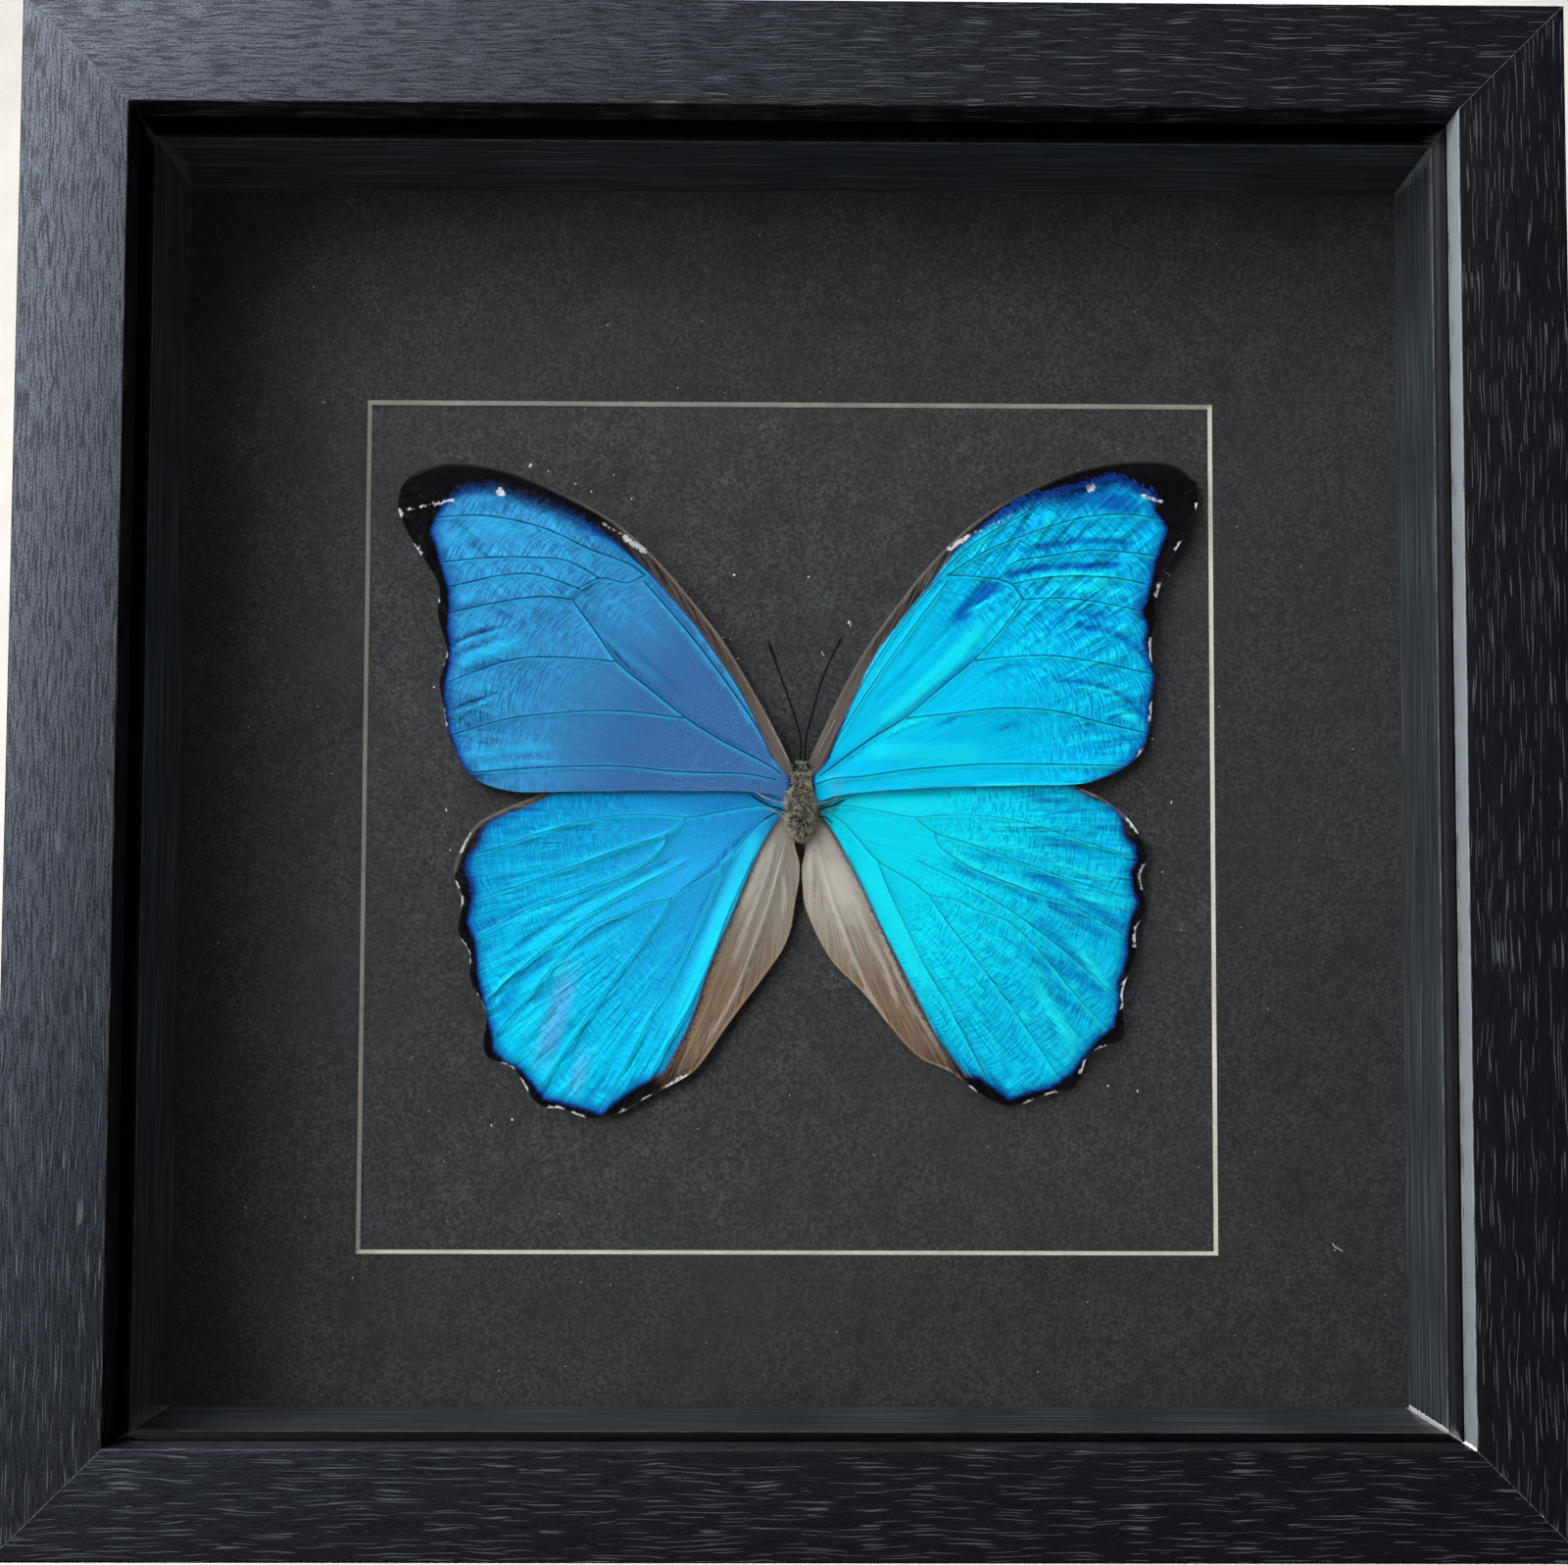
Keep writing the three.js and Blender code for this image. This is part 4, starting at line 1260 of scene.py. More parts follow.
HIND_VEINS = [
    (-2, -3.2, -5.8, -3, -11, -3.7, -18.3, -5.1, -22.2, -4.8, -29.1, -4.7, -36, -5.6,
     -42.9, -7.5, -49.8, -9.9, -58.6, -12.6),
    (-18.3, -5.1, -21.9, -7.8, -29.1, -10.2, -36, -12.8, -42.8, -15.3, -49.7, -17.7,
     -57.8, -20.4),
    (-21.9, -7.8, -22.7, -10.2, -25.6, -12.6, -29.1, -14.7, -34.2, -16.8, -40.2, -19.1,
     -45.4, -20.8, -49.6, -23.1, -57.4, -27.6),
    (-18.7, -12.9, -27.3, -17.3, -35.9, -22.5, -42.7, -27.7, -49.5, -33.7, -54.6, -38.5),
    (-2, -3.5, -5.8, -6, -8.4, -8.9, -11.8, -12.9, -18.7, -17.3, -20.9, -19.2, -25.6, -20.2,
     -29, -21.9, -35, -24.2, -37.6, -26.5, -41.8, -31.1, -46.1, -36.8, -54, -45.6),
    (-20.9, -19.2, -23.8, -23.7, -28.9, -30.6, -34.9, -38.8, -40, -46.5, -45, -54.4),
    (-11.8, -12.9, -13.9, -18.4, -16.9, -25, -20.3, -32.2, -24.1, -38.8, -28.8, -48.2,
     -33.6, -57.6),
    (-6.7, -12, -10.9, -21.2, -14.8, -31.5, -18.6, -39.8, -22, -45.3, -26.6, -54.4),
    (-1.2, -9, -3.2, -17, -6.6, -27, -10.2, -36, -15, -44.6),
]

# A speck far off the wings, for those without a bare membrane at the inner edge.
NO_MEMBRANE = (80, 80, 81, 80, 81, 81)

# Where the hindwings' blue ends at the bare membranes, from the tip to the root.
LEFT_MEMBRANE = (
    -20.3, -46.1, -18.2, -42.2, -16.4, -37.4, -14.8, -32.2, -13, -27.8, -10.8, -22.9,
    -8.9, -18.1, -7, -13.6, -5.3, -9.8, -3.2, -6.3, -1.5, -4.2,
)
RIGHT_MEMBRANE = (
    30.4, -50.1, 27.8, -47, 25.2, -43.3, 22.7, -38.3, 20.1, -33.2, 17.3, -27.7, 14.6, -22.3,
    12.3, -17.3, 10.2, -13.2, 8.2, -9.4, 6.3, -6.4, 4.7, -4.5,
)

WINGS = [
    Wing(
        name="forewing_left", slot="forewing", finish=FORE_LEFT, root=(-1, -1), height=3.4,
        waves=13, front_knots=11,
        outline=(
            -0.5, 4.6, -3.6, 11, -7.1, 17.3, -12.3, 25.9, -18.4, 33.8, -25.5, 41.8, -32.2, 47.5,
            -41.9, 52.7, -51.6, 56.5, -61.5, 57.7, -67.5, 55.6, -69.9, 51.7, -68.8, 46.4,
            -65.1, 40.2, -62.4, 35.3, -62.6, 30.4, -61.3, 25.7, -60.9, 23.6, -62.2, 18.9,
            -61.3, 13.6, -60.9, 11, -59.3, 6.5, -55.7, 1.6, -49.7, -0.6, -38.7, -0.7,
            -19.2, -0.5, -3.4, -1.1, 0.2, -3, 0.4, 1.5,
        ),
        veins=FORE_VEINS["left"],
        folds=[
            (-45.6, 29.1, -49.9, 28.2, -53.4, 27.5, -56, 26.6, -61.4, 24.3),
            (-50.2, 17.4, -54.1, 16.2, -56.7, 15.1, -61.4, 13.2),
            (-55.3, 14.6, -58, 12.5, -60.9, 10.5),
            (-52.1, 7.7, -55.7, 6.7, -59.3, 5.4),
            (-35.5, 34.4, -29.3, 31.1, -24.1, 26.8, -18.9, 21.6, -11.6, 14.3),
            (-24.4, 31.1, -20.3, 27.1, -16.8, 23, -12.8, 17.2),
        ],
        blue=(
            -0.8, 2.2, -3.9, 5.7, -5.5, 9.5, -6.9, 12.9, -9, 17.3, -11.3, 20.7, -13.9, 24.2,
            -17, 28.5, -20, 32, -23.4, 35.8, -26, 38.8, -28.5, 40.9, -31.4, 43.3, -34.7, 45.7,
            -36.8, 47.3, -39.8, 49.4, -43.3, 51, -47.6, 52.5, -52.8, 54.2, -57.5, 53.7,
            -60.6, 51.9, -62.9, 47.9, -63.8, 45.6, -62.9, 43, -62.2, 40.5, -61.3, 37.4,
            -60.5, 35, -60.3, 31.8, -60.5, 28.3, -60.1, 25.7, -60.1, 22.8, -60.5, 20.3,
            -61, 17.9, -61, 15.5, -60.5, 13, -60.2, 10.3, -59.4, 8.2, -58.8, 6.1, -57.4, 3.7,
            -55.5, 1.6, -53.1, -4, -0.8, -6,
        ),
        bare=NO_MEMBRANE,
        marks=[
            (-29.6, 44.2, -26.2, 41.9, 0.42), (-33.4, 46.8, -29.6, 44.2, 0.08),
            (-51.9, 52.5, -51.5, 52.1, 0.6),
            (-63.3, 50.3, -60.2, 51, 0.25), (-69.8, 49.1, -69.4, 48, 0.3),
            (-69.3, 48.9, -60, 51.1, 0.08), (-66.6, 42.8, -65.7, 41.5, 0.35),
            (-63.1, 35.2, -62.5, 32.9, 0.3), (-61.9, 25.4, -61.2, 23.5, 0.3),
            (-61.2, 23.3, -61.8, 21.7, 0.3), (-61.8, 14.1, -61.1, 11.1, 0.3),
            (-60.1, 6, -58.9, 4.6, 0.3),
        ],
        shades=[
            (0.45, 0.9, -60.1, 24.7, -58, 26.3, -54.5, 27.4, -50.2, 28.7),
            (0.7, 0.8, -59.3, 23.3, -55.8, 24.8, -51.9, 26),
            (0.7, 0.8, -60.1, 19.6, -53.6, 21.5, -48, 22.6),
            (0.4, 0.9, -60.8, 13.2, -58, 14.5, -54.5, 15.6, -51, 16.7),
            (0.4, 0.9, -60.6, 10.3, -58, 12.2, -55.8, 14.4),
            (0.8, 0.7, -59.7, 9.6, -56.2, 11, -52.8, 11.7),
            (0.7, 0.8, -60.6, 31.3, -58, 31.5, -53.6, 32.3),
            (0.5, 0.7, -59.7, 35.2, -53.6, 37.1),
            (1.2, 0.3, -38, 33.1, -34.2, 29.8, -29.8, 25.4, -24.2, 20.7, -19, 17),
            (0.4, 0.8, -33.3, 26.6, -29.4, 22, -24.6, 17.6, -18.1, 12, -10.3, 7.5, -3.4, 2.8),
            (0.3, 0.7, -38.7, 33.2, -46, 33.5, -52, 32.9),
            (1.5, 0.35, -56, 49.6, -46, 50.2, -38, 46.4),
        ],
        gleams=[
            (0.35, 0.9, -60.1, 23.9, -58, 25.5, -54.5, 26.6, -50.6, 27.8),
            (1.3, 0.95, -59.3, 21.3, -55.8, 23.2, -51.9, 24.4, -47.6, 25.4),
            (0.3, 0.9, -60.6, 12.5, -56.7, 13.8, -51.5, 16.1),
            (0.35, 0.9, -60.3, 11, -56.7, 13.5),
            (1.6, 0.35, -62.3, 43.6, -53.6, 46, -46, 45),
            (0.8, 0.6, -60.1, 32.9, -53.6, 34.3),
            (0.9, 0.2, -35.5, 35.9, -32, 33.3, -27.7, 30.2, -23.3, 25.4),
            (0.7, 0.2, -35, 28.9, -32, 25.9, -27.7, 22.4, -22, 18),
            (1, 0.55, -58.3, 5.4, -50, 6.6, -41, 7.2),
            (0.5, 0.6, -57, 2.8, -47, 4.2, -40, 4.4),
        ],
        blooms=[(0.5, 0.6, -17.6, 4.6, -16.2, 5.9),
                (0.3, 0.5, -8.4, 4.9, -6.6, 3.6)],
    ),
    Wing(
        name="forewing_right", slot="forewing", finish=FORE_RIGHT, root=(3.8, -1),
        height=3.4, waves=13, front_knots=12,
        outline=(
            2.9, 4.7, 5.7, 11.1, 9.1, 18.2, 13.1, 25.2, 18.1, 32.2, 23.6, 39.2, 30.6, 46.2,
            38.4, 51.6, 50, 56.7, 58.7, 58.5, 67.3, 58.2, 71.1, 55.4, 71.9, 53.3, 70, 46.8,
            66.1, 39.8, 64, 33.3, 64, 29.8, 63.1, 26.6, 63.1, 23.7, 63.7, 20.2, 63.2, 15.3,
            63, 12.4, 61.9, 7.8, 59.1, 4.5, 53.3, 1.6, 49.8, 0.9, 41.5, 0.7, 22.6, 0.1,
            7.4, -1.4, 2.8, -3, 2.5, 1.5,
        ),
        veins=FORE_VEINS["right"],
        folds=[
            (49.4, 29.4, 57.2, 28, 63, 24.5),
            (33, 39.3, 36.4, 37.2, 39.9, 34),
            (52, 17.6, 57.2, 16.4, 63, 14.8),
            (15, 15.4, 22, 22.6, 28, 28.6, 34.4, 34),
        ],
        blue=(
            3.8, 2.2, 6.3, 5.2, 8.1, 9.9, 9.5, 13.3, 11.2, 17.2, 12.9, 21, 15.1, 24.9,
            17.7, 28.3, 20.8, 32.4, 24, 36.2, 26.4, 39.6, 29.2, 42.9, 33, 46.3, 37.9, 50.1,
            41.7, 52.3, 46.5, 53, 51.2, 54.4, 56.5, 56, 60.5, 54.5, 64.3, 52.4, 63.6, 49.9,
            66, 46.6, 64.9, 43.6, 63.7, 40.1, 62.8, 36.2, 62.1, 33.4, 61.2, 31.7, 62.4, 28.6,
            61.7, 26.3, 62.5, 23.3, 63.4, 20.2, 63, 17.4, 62.3, 14.6, 62.5, 11.5, 61.9, 8.5,
            60.5, 6.4, 58.8, 4.5, 56, 2.8, 52.7, 1.4, 50, -4, 3.6, -6,
        ),
        bare=NO_MEMBRANE,
        marks=[
            (27.4, 42.6, 30.6, 44.7, 0.35), (30.6, 44.7, 38.9, 48.7, 0.06),
            (52.3, 53.6, 52.9, 53.8, 0.55), (61.7, 52.4, 65.1, 51.3, 0.22),
            (71.4, 50.8, 71.6, 49.5, 0.4), (67.7, 42.8, 68.8, 44.2, 0.35),
            (64.1, 34.3, 64.6, 36.4, 0.3), (62.9, 24.7, 63, 26.6, 0.3),
            (62.9, 24.4, 63.4, 22.8, 0.3), (63, 12.4, 63.2, 15.3, 0.3),
            (60.7, 5.9, 61.4, 7, 0.3),
        ],
        shades=[
            (1.7, 1, 27.6, 28.6, 31.4, 32.7, 33.9, 34.9, 38.5, 38),
            (0.7, 1, 35.5, 36.6, 40.4, 38.6, 44.7, 39.4, 51.2, 39.7, 59.9, 40),
            (0.7, 0.8, 39.9, 42.5, 44.7, 43.2, 49.9, 44, 55.6, 44.2, 61.2, 43.6),
            (0.8, 0.8, 49, 29.1, 55.6, 28, 59.5, 25.9, 62.9, 22.6),
            (0.6, 0.7, 45.1, 19.2, 50.3, 19, 55.6, 17.8, 59.5, 15.4, 62.3, 12),
            (0.6, 0.6, 34.7, 10.1, 38.2, 11.2, 40.4, 12.5),
            (0.6, 0.6, 24.8, 10.3, 27.8, 12, 30.4, 12.9),
            (0.6, 0.6, 55.9, 8.7, 61.4, 9.3),
            (0.4, 0.7, 55.6, 7, 57.7, 3.9),
            (0.4, 0.6, 53.9, 7.9, 55.4, 4),
            (0.65, 1, 4.4, 1.9, 10, 5.8, 14.8, 9.2, 20, 13.1, 25.2, 17.6, 31.3, 22.3, 33, 24.6),
            (0.6, 0.6, 34, 20, 38, 21.6, 42, 21.8),
            (2.6, 0.85, 46, 51.4, 54, 51.6, 62, 50),
            (1.4, 0.6, 61.6, 37.4, 61, 32.6, 60, 29.4),
            (0.8, 0.55, 52, 41.9, 63.6, 41.6),
            (0.8, 0.45, 44, 32, 52, 31.2, 59, 30.2),
        ],
        gleams=[
            (0.45, 0.95, 40.8, 37.1, 45.1, 37.8, 50.3, 38.1, 55.6, 37.7, 59.9, 36.7),
            (1.7, 0.7, 14.8, 10.6, 22.2, 17, 29, 24, 34.7, 29.8),
            (0.35, 0.8, 54.3, 45.2, 59.5, 45.4),
            (0.35, 0.9, 49.5, 18.3, 55.6, 17, 59.5, 14.6),
            (1, 0.9, 55.6, 14.2, 59.5, 12.9, 61.5, 11),
            (0.45, 0.8, 59.5, 24.9, 62.6, 21),
            (2, 0.5, 12, 6.6, 22, 6.2, 34, 6.4),
            (0.35, 0.8, 31.3, 0.5, 51.2, 1),
            (0.4, 0.8, 15.2, 8.5, 20, 11.2, 24.8, 12.4),
            (0.4, 0.7, 29.6, 30.8, 34, 33, 38.4, 34.8),
            (0.9, 0.5, 44, 36, 54, 35.4, 61, 34.4),
        ],
        blooms=[(1.5, 0.7, 7.2, 1.6, 8.2, -0.8)],
    ),
    Wing(
        name="hindwing_left", slot="hindwing", finish=HIND_LEFT, root=(-1, -6), height=2.2,
        waves=11, front_knots=9,
        outline=(
            0.4, -4.5, -10, 3.5, -24, 6.5, -36, 4.5, -43.6, -0.6, -50.2, -3.5, -55.3, -6.3,
            -57.8, -10, -59.5, -14.8, -58.1, -19.1, -58.1, -21, -58.7, -25.2, -56.6, -28.9,
            -56.4, -33.7, -54.1, -37.9, -53.5, -40.3, -54, -45.4, -53.1, -47.4, -48.8, -49.1,
            -45, -54.9, -43.1, -56, -40.7, -56.1, -36.4, -57.6, -34.2, -58, -29.4, -56.6,
            -25.7, -54.4, -17.3, -49.7, -15.4, -47.5, -10.8, -40.8, -4.2, -31.9, -1.8, -28.4,
            -0.4, -25, 0.4, -20.3, 1.1, -16.3, 1.2, -12.9, 0.4, -10.1,
        ),
        veins=HIND_VEINS,
        folds=[(-35.8, -32.8, -40, -37.5, -45.1, -44.3, -48.4, -49.2)],
        blue=(
            -43, -1.2, -46.4, -3, -50.2, -4.4, -53.6, -6.1, -54.6, -7.9, -55.3, -10.3,
            -57, -12.4, -57.5, -14.1, -56.2, -16.9, -56, -19.3, -56.5, -22, -56.8, -23.8,
            -55.6, -26.2, -55.2, -28.9, -54.8, -33, -53.8, -36.8, -53.4, -39.6, -52.3, -42.6,
            -52.1, -45.7, -50.1, -47.8, -47.6, -49, -45.4, -51.5, -43.1, -54.3, -39, -55.3,
            -35.1, -56.3, -33.4, -57, -30.5, -54.6, -27.1, -52.2, -22.3, -49.7, *LEFT_MEMBRANE,
            2, 8, -43, 8,
        ),
        bare=(-24.3, -49.7, *LEFT_MEMBRANE, 3, -4, 3, -60, -20, -60),
        marks=[
            (-56.8, -7.5, -58.3, -11, 0.35), (-59.1, -16.7, -58.6, -18.3, 0.3),
            (-58.2, -19, -58.2, -20.8, 0.3), (-58, -26.9, -57.2, -28, 0.3),
            (-56.8, -28.7, -56.6, -31, 0.3), (-55.3, -36.5, -54.4, -38.2, 0.3),
            (-54.1, -38.5, -53.9, -41.6, 0.35), (-50.7, -48.5, -48.8, -49.2, 0.3),
            (-47.5, -51, -46.3, -52.9, 0.3), (-42.3, -56.1, -40, -56.2, 0.3),
            (-38.2, -57, -36.3, -57.6, 0.3), (-29.8, -56.7, -29, -56.4, 0.3),
            (-25.9, -54.6, -24.5, -53.9, 0.3), (-21.8, -52.3, -20.9, -51.7, 0.3),
            (-20.2, -51.3, -18.5, -50.4, 0.35),
        ],
        shades=[
            (0.7, 0.8, -20.1, -12.1, -25.7, -15.1, -30, -17.3, -34.3, -19, -38.6, -21.6,
             -43.8, -25, -49.4, -28.9),
            (1, 0.7, -54.6, -29.3, -51.6, -26.8),
            (1.4, 0.6, -51.6, -40.5, -49.4, -37.1, -47.2, -33.6),
            (1.2, 0.6, -52.2, -43.4, -52.6, -39.6),
            (1.3, 0.5, -16.6, -4.6, -9.3, -3),
            (0.5, 0.9, -3, -3.9, -5.4, -5.7, -10.6, -10.6, -14.9, -14.9, -19.6, -18),
            (0.4, 0.7, -4.4, -2.6, -11, -3.8, -18, -5.2),
            (0.5, 0.7, -47, -31.8, -53.6, -38.4),
            (0.5, 0.5, -12.2, -13.6, -15.6, -21, -19.6, -30, -23.4, -38),
        ],
        gleams=[
            (1.5, 0.5, -21.4, -13.8, -26.5, -16.6, -32.2, -19, -36, -20.9, -39.5, -23.5,
             -42.9, -26.1, -47.2, -29.3),
            (1.6, 0.75, -5.6, -7, -8.2, -12.6, -11.4, -20.1, -14.4, -27.8, -17.4, -35.1,
             -20.6, -41.3),
            (0.4, 0.6, -36, -5.9, -41.6, -7.1, -46.4, -8.2),
            (0.4, 0.7, -18.4, -5.5, -21.8, -8, -26.1, -9.4, -34.3, -12.1, -40.3, -14.3),
            (0.4, 0.7, -21.8, -8.3, -23.1, -10.8, -25.7, -13.2, -29.1, -15.1, -36, -18),
            (0.5, 0.8, -53.7, -37.5, -49.8, -33.4, -47.2, -30.6),
            (2, 0.6, -49.4, -44.4, -45.9, -40.5, -43, -37),
            (0.4, 0.6, -50.3, -24.8, -45.5, -22.3, -40.3, -20.1),
            (1.2, 0.4, -4.2, -9, -6.4, -16, -8.6, -22),
            (0.55, 0.5, -3.2, -8, -4.2, -14, -6.6, -21, -10.4, -31),
            (0.5, 0.45, -1.8, -14, -1.2, -18, -1.6, -23),
        ],
        blooms=[(2.2, 0.5, -38.9, -31.9, -41.2, -40.2, -43.6, -47.8),
                (1.6, 0.4, -36, -46, -38.2, -54)],
    ),
    Wing(
        name="hindwing_right", slot="hindwing", finish=HIND_RIGHT, root=(3.8, -6),
        height=2.2, waves=11, front_knots=7,
        outline=(
            2.6, -4.5, 12, 4, 27, 7.5, 40, 6, 50, 0.8, 55.7, -2.1, 59.7, -5.7, 62.1, -10.2,
            62.4, -12, 61.2, -15.2, 62.4, -20.6, 60.4, -24.6, 60.4, -29.6, 58.7, -33.2,
            58, -35.6, 58.4, -41.6, 58.1, -43.7, 53.3, -45.6, 51.7, -47.1, 50.1, -51.6,
            48.8, -52.8, 45.7, -53.2, 40.2, -55.2, 37.8, -55.6, 33, -53.5, 27.5, -49.4,
            22.1, -46.9, 12.3, -35.6, 6.7, -29.8, 2.3, -20.8, 1.8, -17.2, 1.7, -13.7,
            2.2, -11.1,
        ),
        veins=[mirrored(v, 1.5, 0.96) for v in HIND_VEINS],
        folds=[(46.3, -23.6, 52, -28.2, 57.8, -34.2),
               (22.7, -17.1, 30.4, -26.6, 43.3, -40.3, 49, -50.2)],
        blue=(
            50, 0.2, 52.4, -1, 56.6, -2.9, 58.1, -5.4, 58.3, -7.8, 60.2, -9.9, 60.4, -12.3,
            59.5, -14.4, 59.8, -17.5, 60.7, -19.9, 59.4, -22.7, 58.7, -25.8, 58.7, -28.9,
            58, -31.7, 57, -33.7, 57.1, -37.5, 56.1, -41.5, 53.3, -43.9, 51, -46.8, 48.8, -49.7,
            45.3, -52.1, 41.6, -53, 38.1, -54.2, 35.4, -52.2, 33, -50.5, *RIGHT_MEMBRANE, 2, 9,
            50, 9,
        ),
        bare=(*RIGHT_MEMBRANE, 0, -4, 0, -60, 26, -60),
        marks=[
            (58.9, -4.5, 60.8, -7.3, 0.35), (61.2, -14.4, 62.1, -13.3, 0.3),
            (61.2, -15.1, 61.5, -17.1, 0.3), (60.4, -24.6, 61.3, -23.2, 0.3),
            (60.2, -25.3, 60.2, -27.4, 0.3), (58, -34.4, 59, -33.2, 0.3),
            (57.9, -38.2, 58, -35.4, 0.3), (53.5, -45.7, 54.9, -45.1, 0.3),
            (50.7, -49.5, 51.6, -47.7, 0.3), (44.7, -53.5, 46.2, -53.2, 0.3),
            (40.7, -55.1, 42.1, -54.7, 0.3), (31, -52.2, 32.2, -53, 0.3),
            (26, -48.9, 27.2, -49.5, 0.3),
        ],
        shades=[
            (0.9, 0.75, 27, -12.8, 32.2, -15, 37.8, -16.9, 42.1, -18.8, 47.7, -21.4,
             52.8, -24.4, 57.6, -26.6),
            (1.1, 0.7, 39.9, -14.5, 45.9, -16.3, 50.7, -19.3, 55.9, -22.7, 58.9, -24.9),
            (1.3, 0.6, 42.1, -21.8, 45.9, -25.7, 49.8, -30, 52.8, -33.5, 55.9, -37.8),
            (1, 0.55, 42.5, -8.5, 48.5, -9.8, 55, -12),
            (1.1, 0.6, 39.9, -0.8, 46.4, -2.1, 52.8, -3.8),
            (0.9, 0.5, 44.2, -39.9, 46.8, -44.2),
            (1.1, 0.5, 41, -28, 44.2, -31.2, 48.5, -36.6),
            (1.2, 0.4, 30.4, -11.3, 37, -12.2, 44.2, -12.8),
        ],
        gleams=[
            (0.6, 0.8, 25.3, -8.5, 30.4, -12.4, 36.9, -15.6, 42.5, -18, 45.9, -22.3),
            (1.3, 0.85, 42, -33, 45.1, -37.8, 47.7, -41.6, 50.7, -45.9),
            (1.1, 0.75, 49.6, -26.8, 52.8, -31.3, 56.1, -36),
            (2.2, 0.6, 12.3, -13.7, 16.6, -20.8, 20.5, -28.5, 24.4, -35.8),
            (0.45, 0.6, 27, -9.6, 35.6, -9.6, 42.1, -11, 48.5, -13.5, 56.7, -17),
            (1, 0.6, 48.5, -17.7, 59.3, -21),
            (1.8, 0.5, 9.7, -1.8, 19.2, -2.9, 27, -2.7),
            (2.6, 0.7, 6.4, -11.5, 8.4, -16.5, 10.6, -22),
            (0.5, 0.5, 3.4, -8.6, 3.2, -13, 3.6, -17),
            (0.55, 0.5, 6.6, -12.4, 10.8, -18.4, 13.6, -26, 16.4, -31.6, 18.8, -39),
        ],
        blooms=[(1, 0.8, 4.6, -1, 8, -0.6)],
    ),
]


@dataclass(frozen=True)
class Lump:
    """A rounded part of the body: middle (across, up), height and half sizes, in mm."""

    at: Point2
    height: float
    half: Point3


THORAX = Lump((1.4, -3.8), 3, (2.6, 5.2, 2.9))
COLLAR = Lump((1.5, 1.4), 3, (1.6, 1.5, 1.8))
HEAD = Lump((1.6, 3.2), 3, (1.25, 1.5, 1.6))
EYES = [Lump((x, 3.5), 3.1, (0.7, 0.9, 1)) for x in (0.6, 2.6)]
PALPS = [Lump((x, 4.8), 3.2, (0.4, 0.9, 0.4)) for x in (1.5, 2.2)]
BROKEN_WAIST = Lump((1.2, -10.4), 2.8, (1.7, 1.5, 1.6))
GLUE_GAP = 0.15


# Small plates that hinge the wings: (across, up, height above the card) along each, and
# its radius. The dark ones are partly dark chitin and partly painted shade, laid where the
# notches at the wing roots lie in shadow.
Struts = list[tuple[list[Point3], float]]
DARK_PLATES_AND_SHADE: Struts = [
    ([(-7.2, -1.2, 2.6), (-5.6, -2.3, 2.9), (-3.4, -3.3, 3.1), (-1.0, -4.0, 3.2)], 0.14),
    ([(-5.0, -5.4, 2.5), (-3.2, -4.4, 2.9), (-1.0, -4.6, 3.1)], 0.13),
    ([(9.0, -1.9, 2.5), (7.0, -3.0, 2.8), (5.2, -3.5, 3.1), (3.6, -4.0, 3.2)], 0.14),
    ([(7.0, -6.0, 2.4), (5.8, -5.0, 2.8), (3.6, -4.8, 3.1)], 0.12),
]
PALE_STRUTS: Struts = [
    ([(-6.6, -0.6, 3.0), (-5.0, -1.6, 3.3), (-3.0, -2.4, 3.5), (-1.0, -2.6, 3.5)], 0.13),
    ([(-5.2, -3.3, 2.8), (-3.6, -3.9, 3.1), (-1.4, -4.9, 3.2)], 0.1),
    ([(8.6, -1.3, 2.9), (6.8, -2.1, 3.2), (5.2, -2.7, 3.4), (3.8, -2.9, 3.5)], 0.14),
    ([(7.8, -3.2, 2.7), (6.2, -3.9, 3.0), (3.8, -4.6, 3.2)], 0.1),
    # The pale front veins of the forewings.
    ([(-1.0, 5.2, 3.9), (-2.6, 8.6, 3.9), (-4.4, 12.0, 3.8)], 0.06),
    ([(4.0, 5.2, 3.9), (5.6, 8.6, 3.9), (7.4, 12.0, 3.8)], 0.06),
]


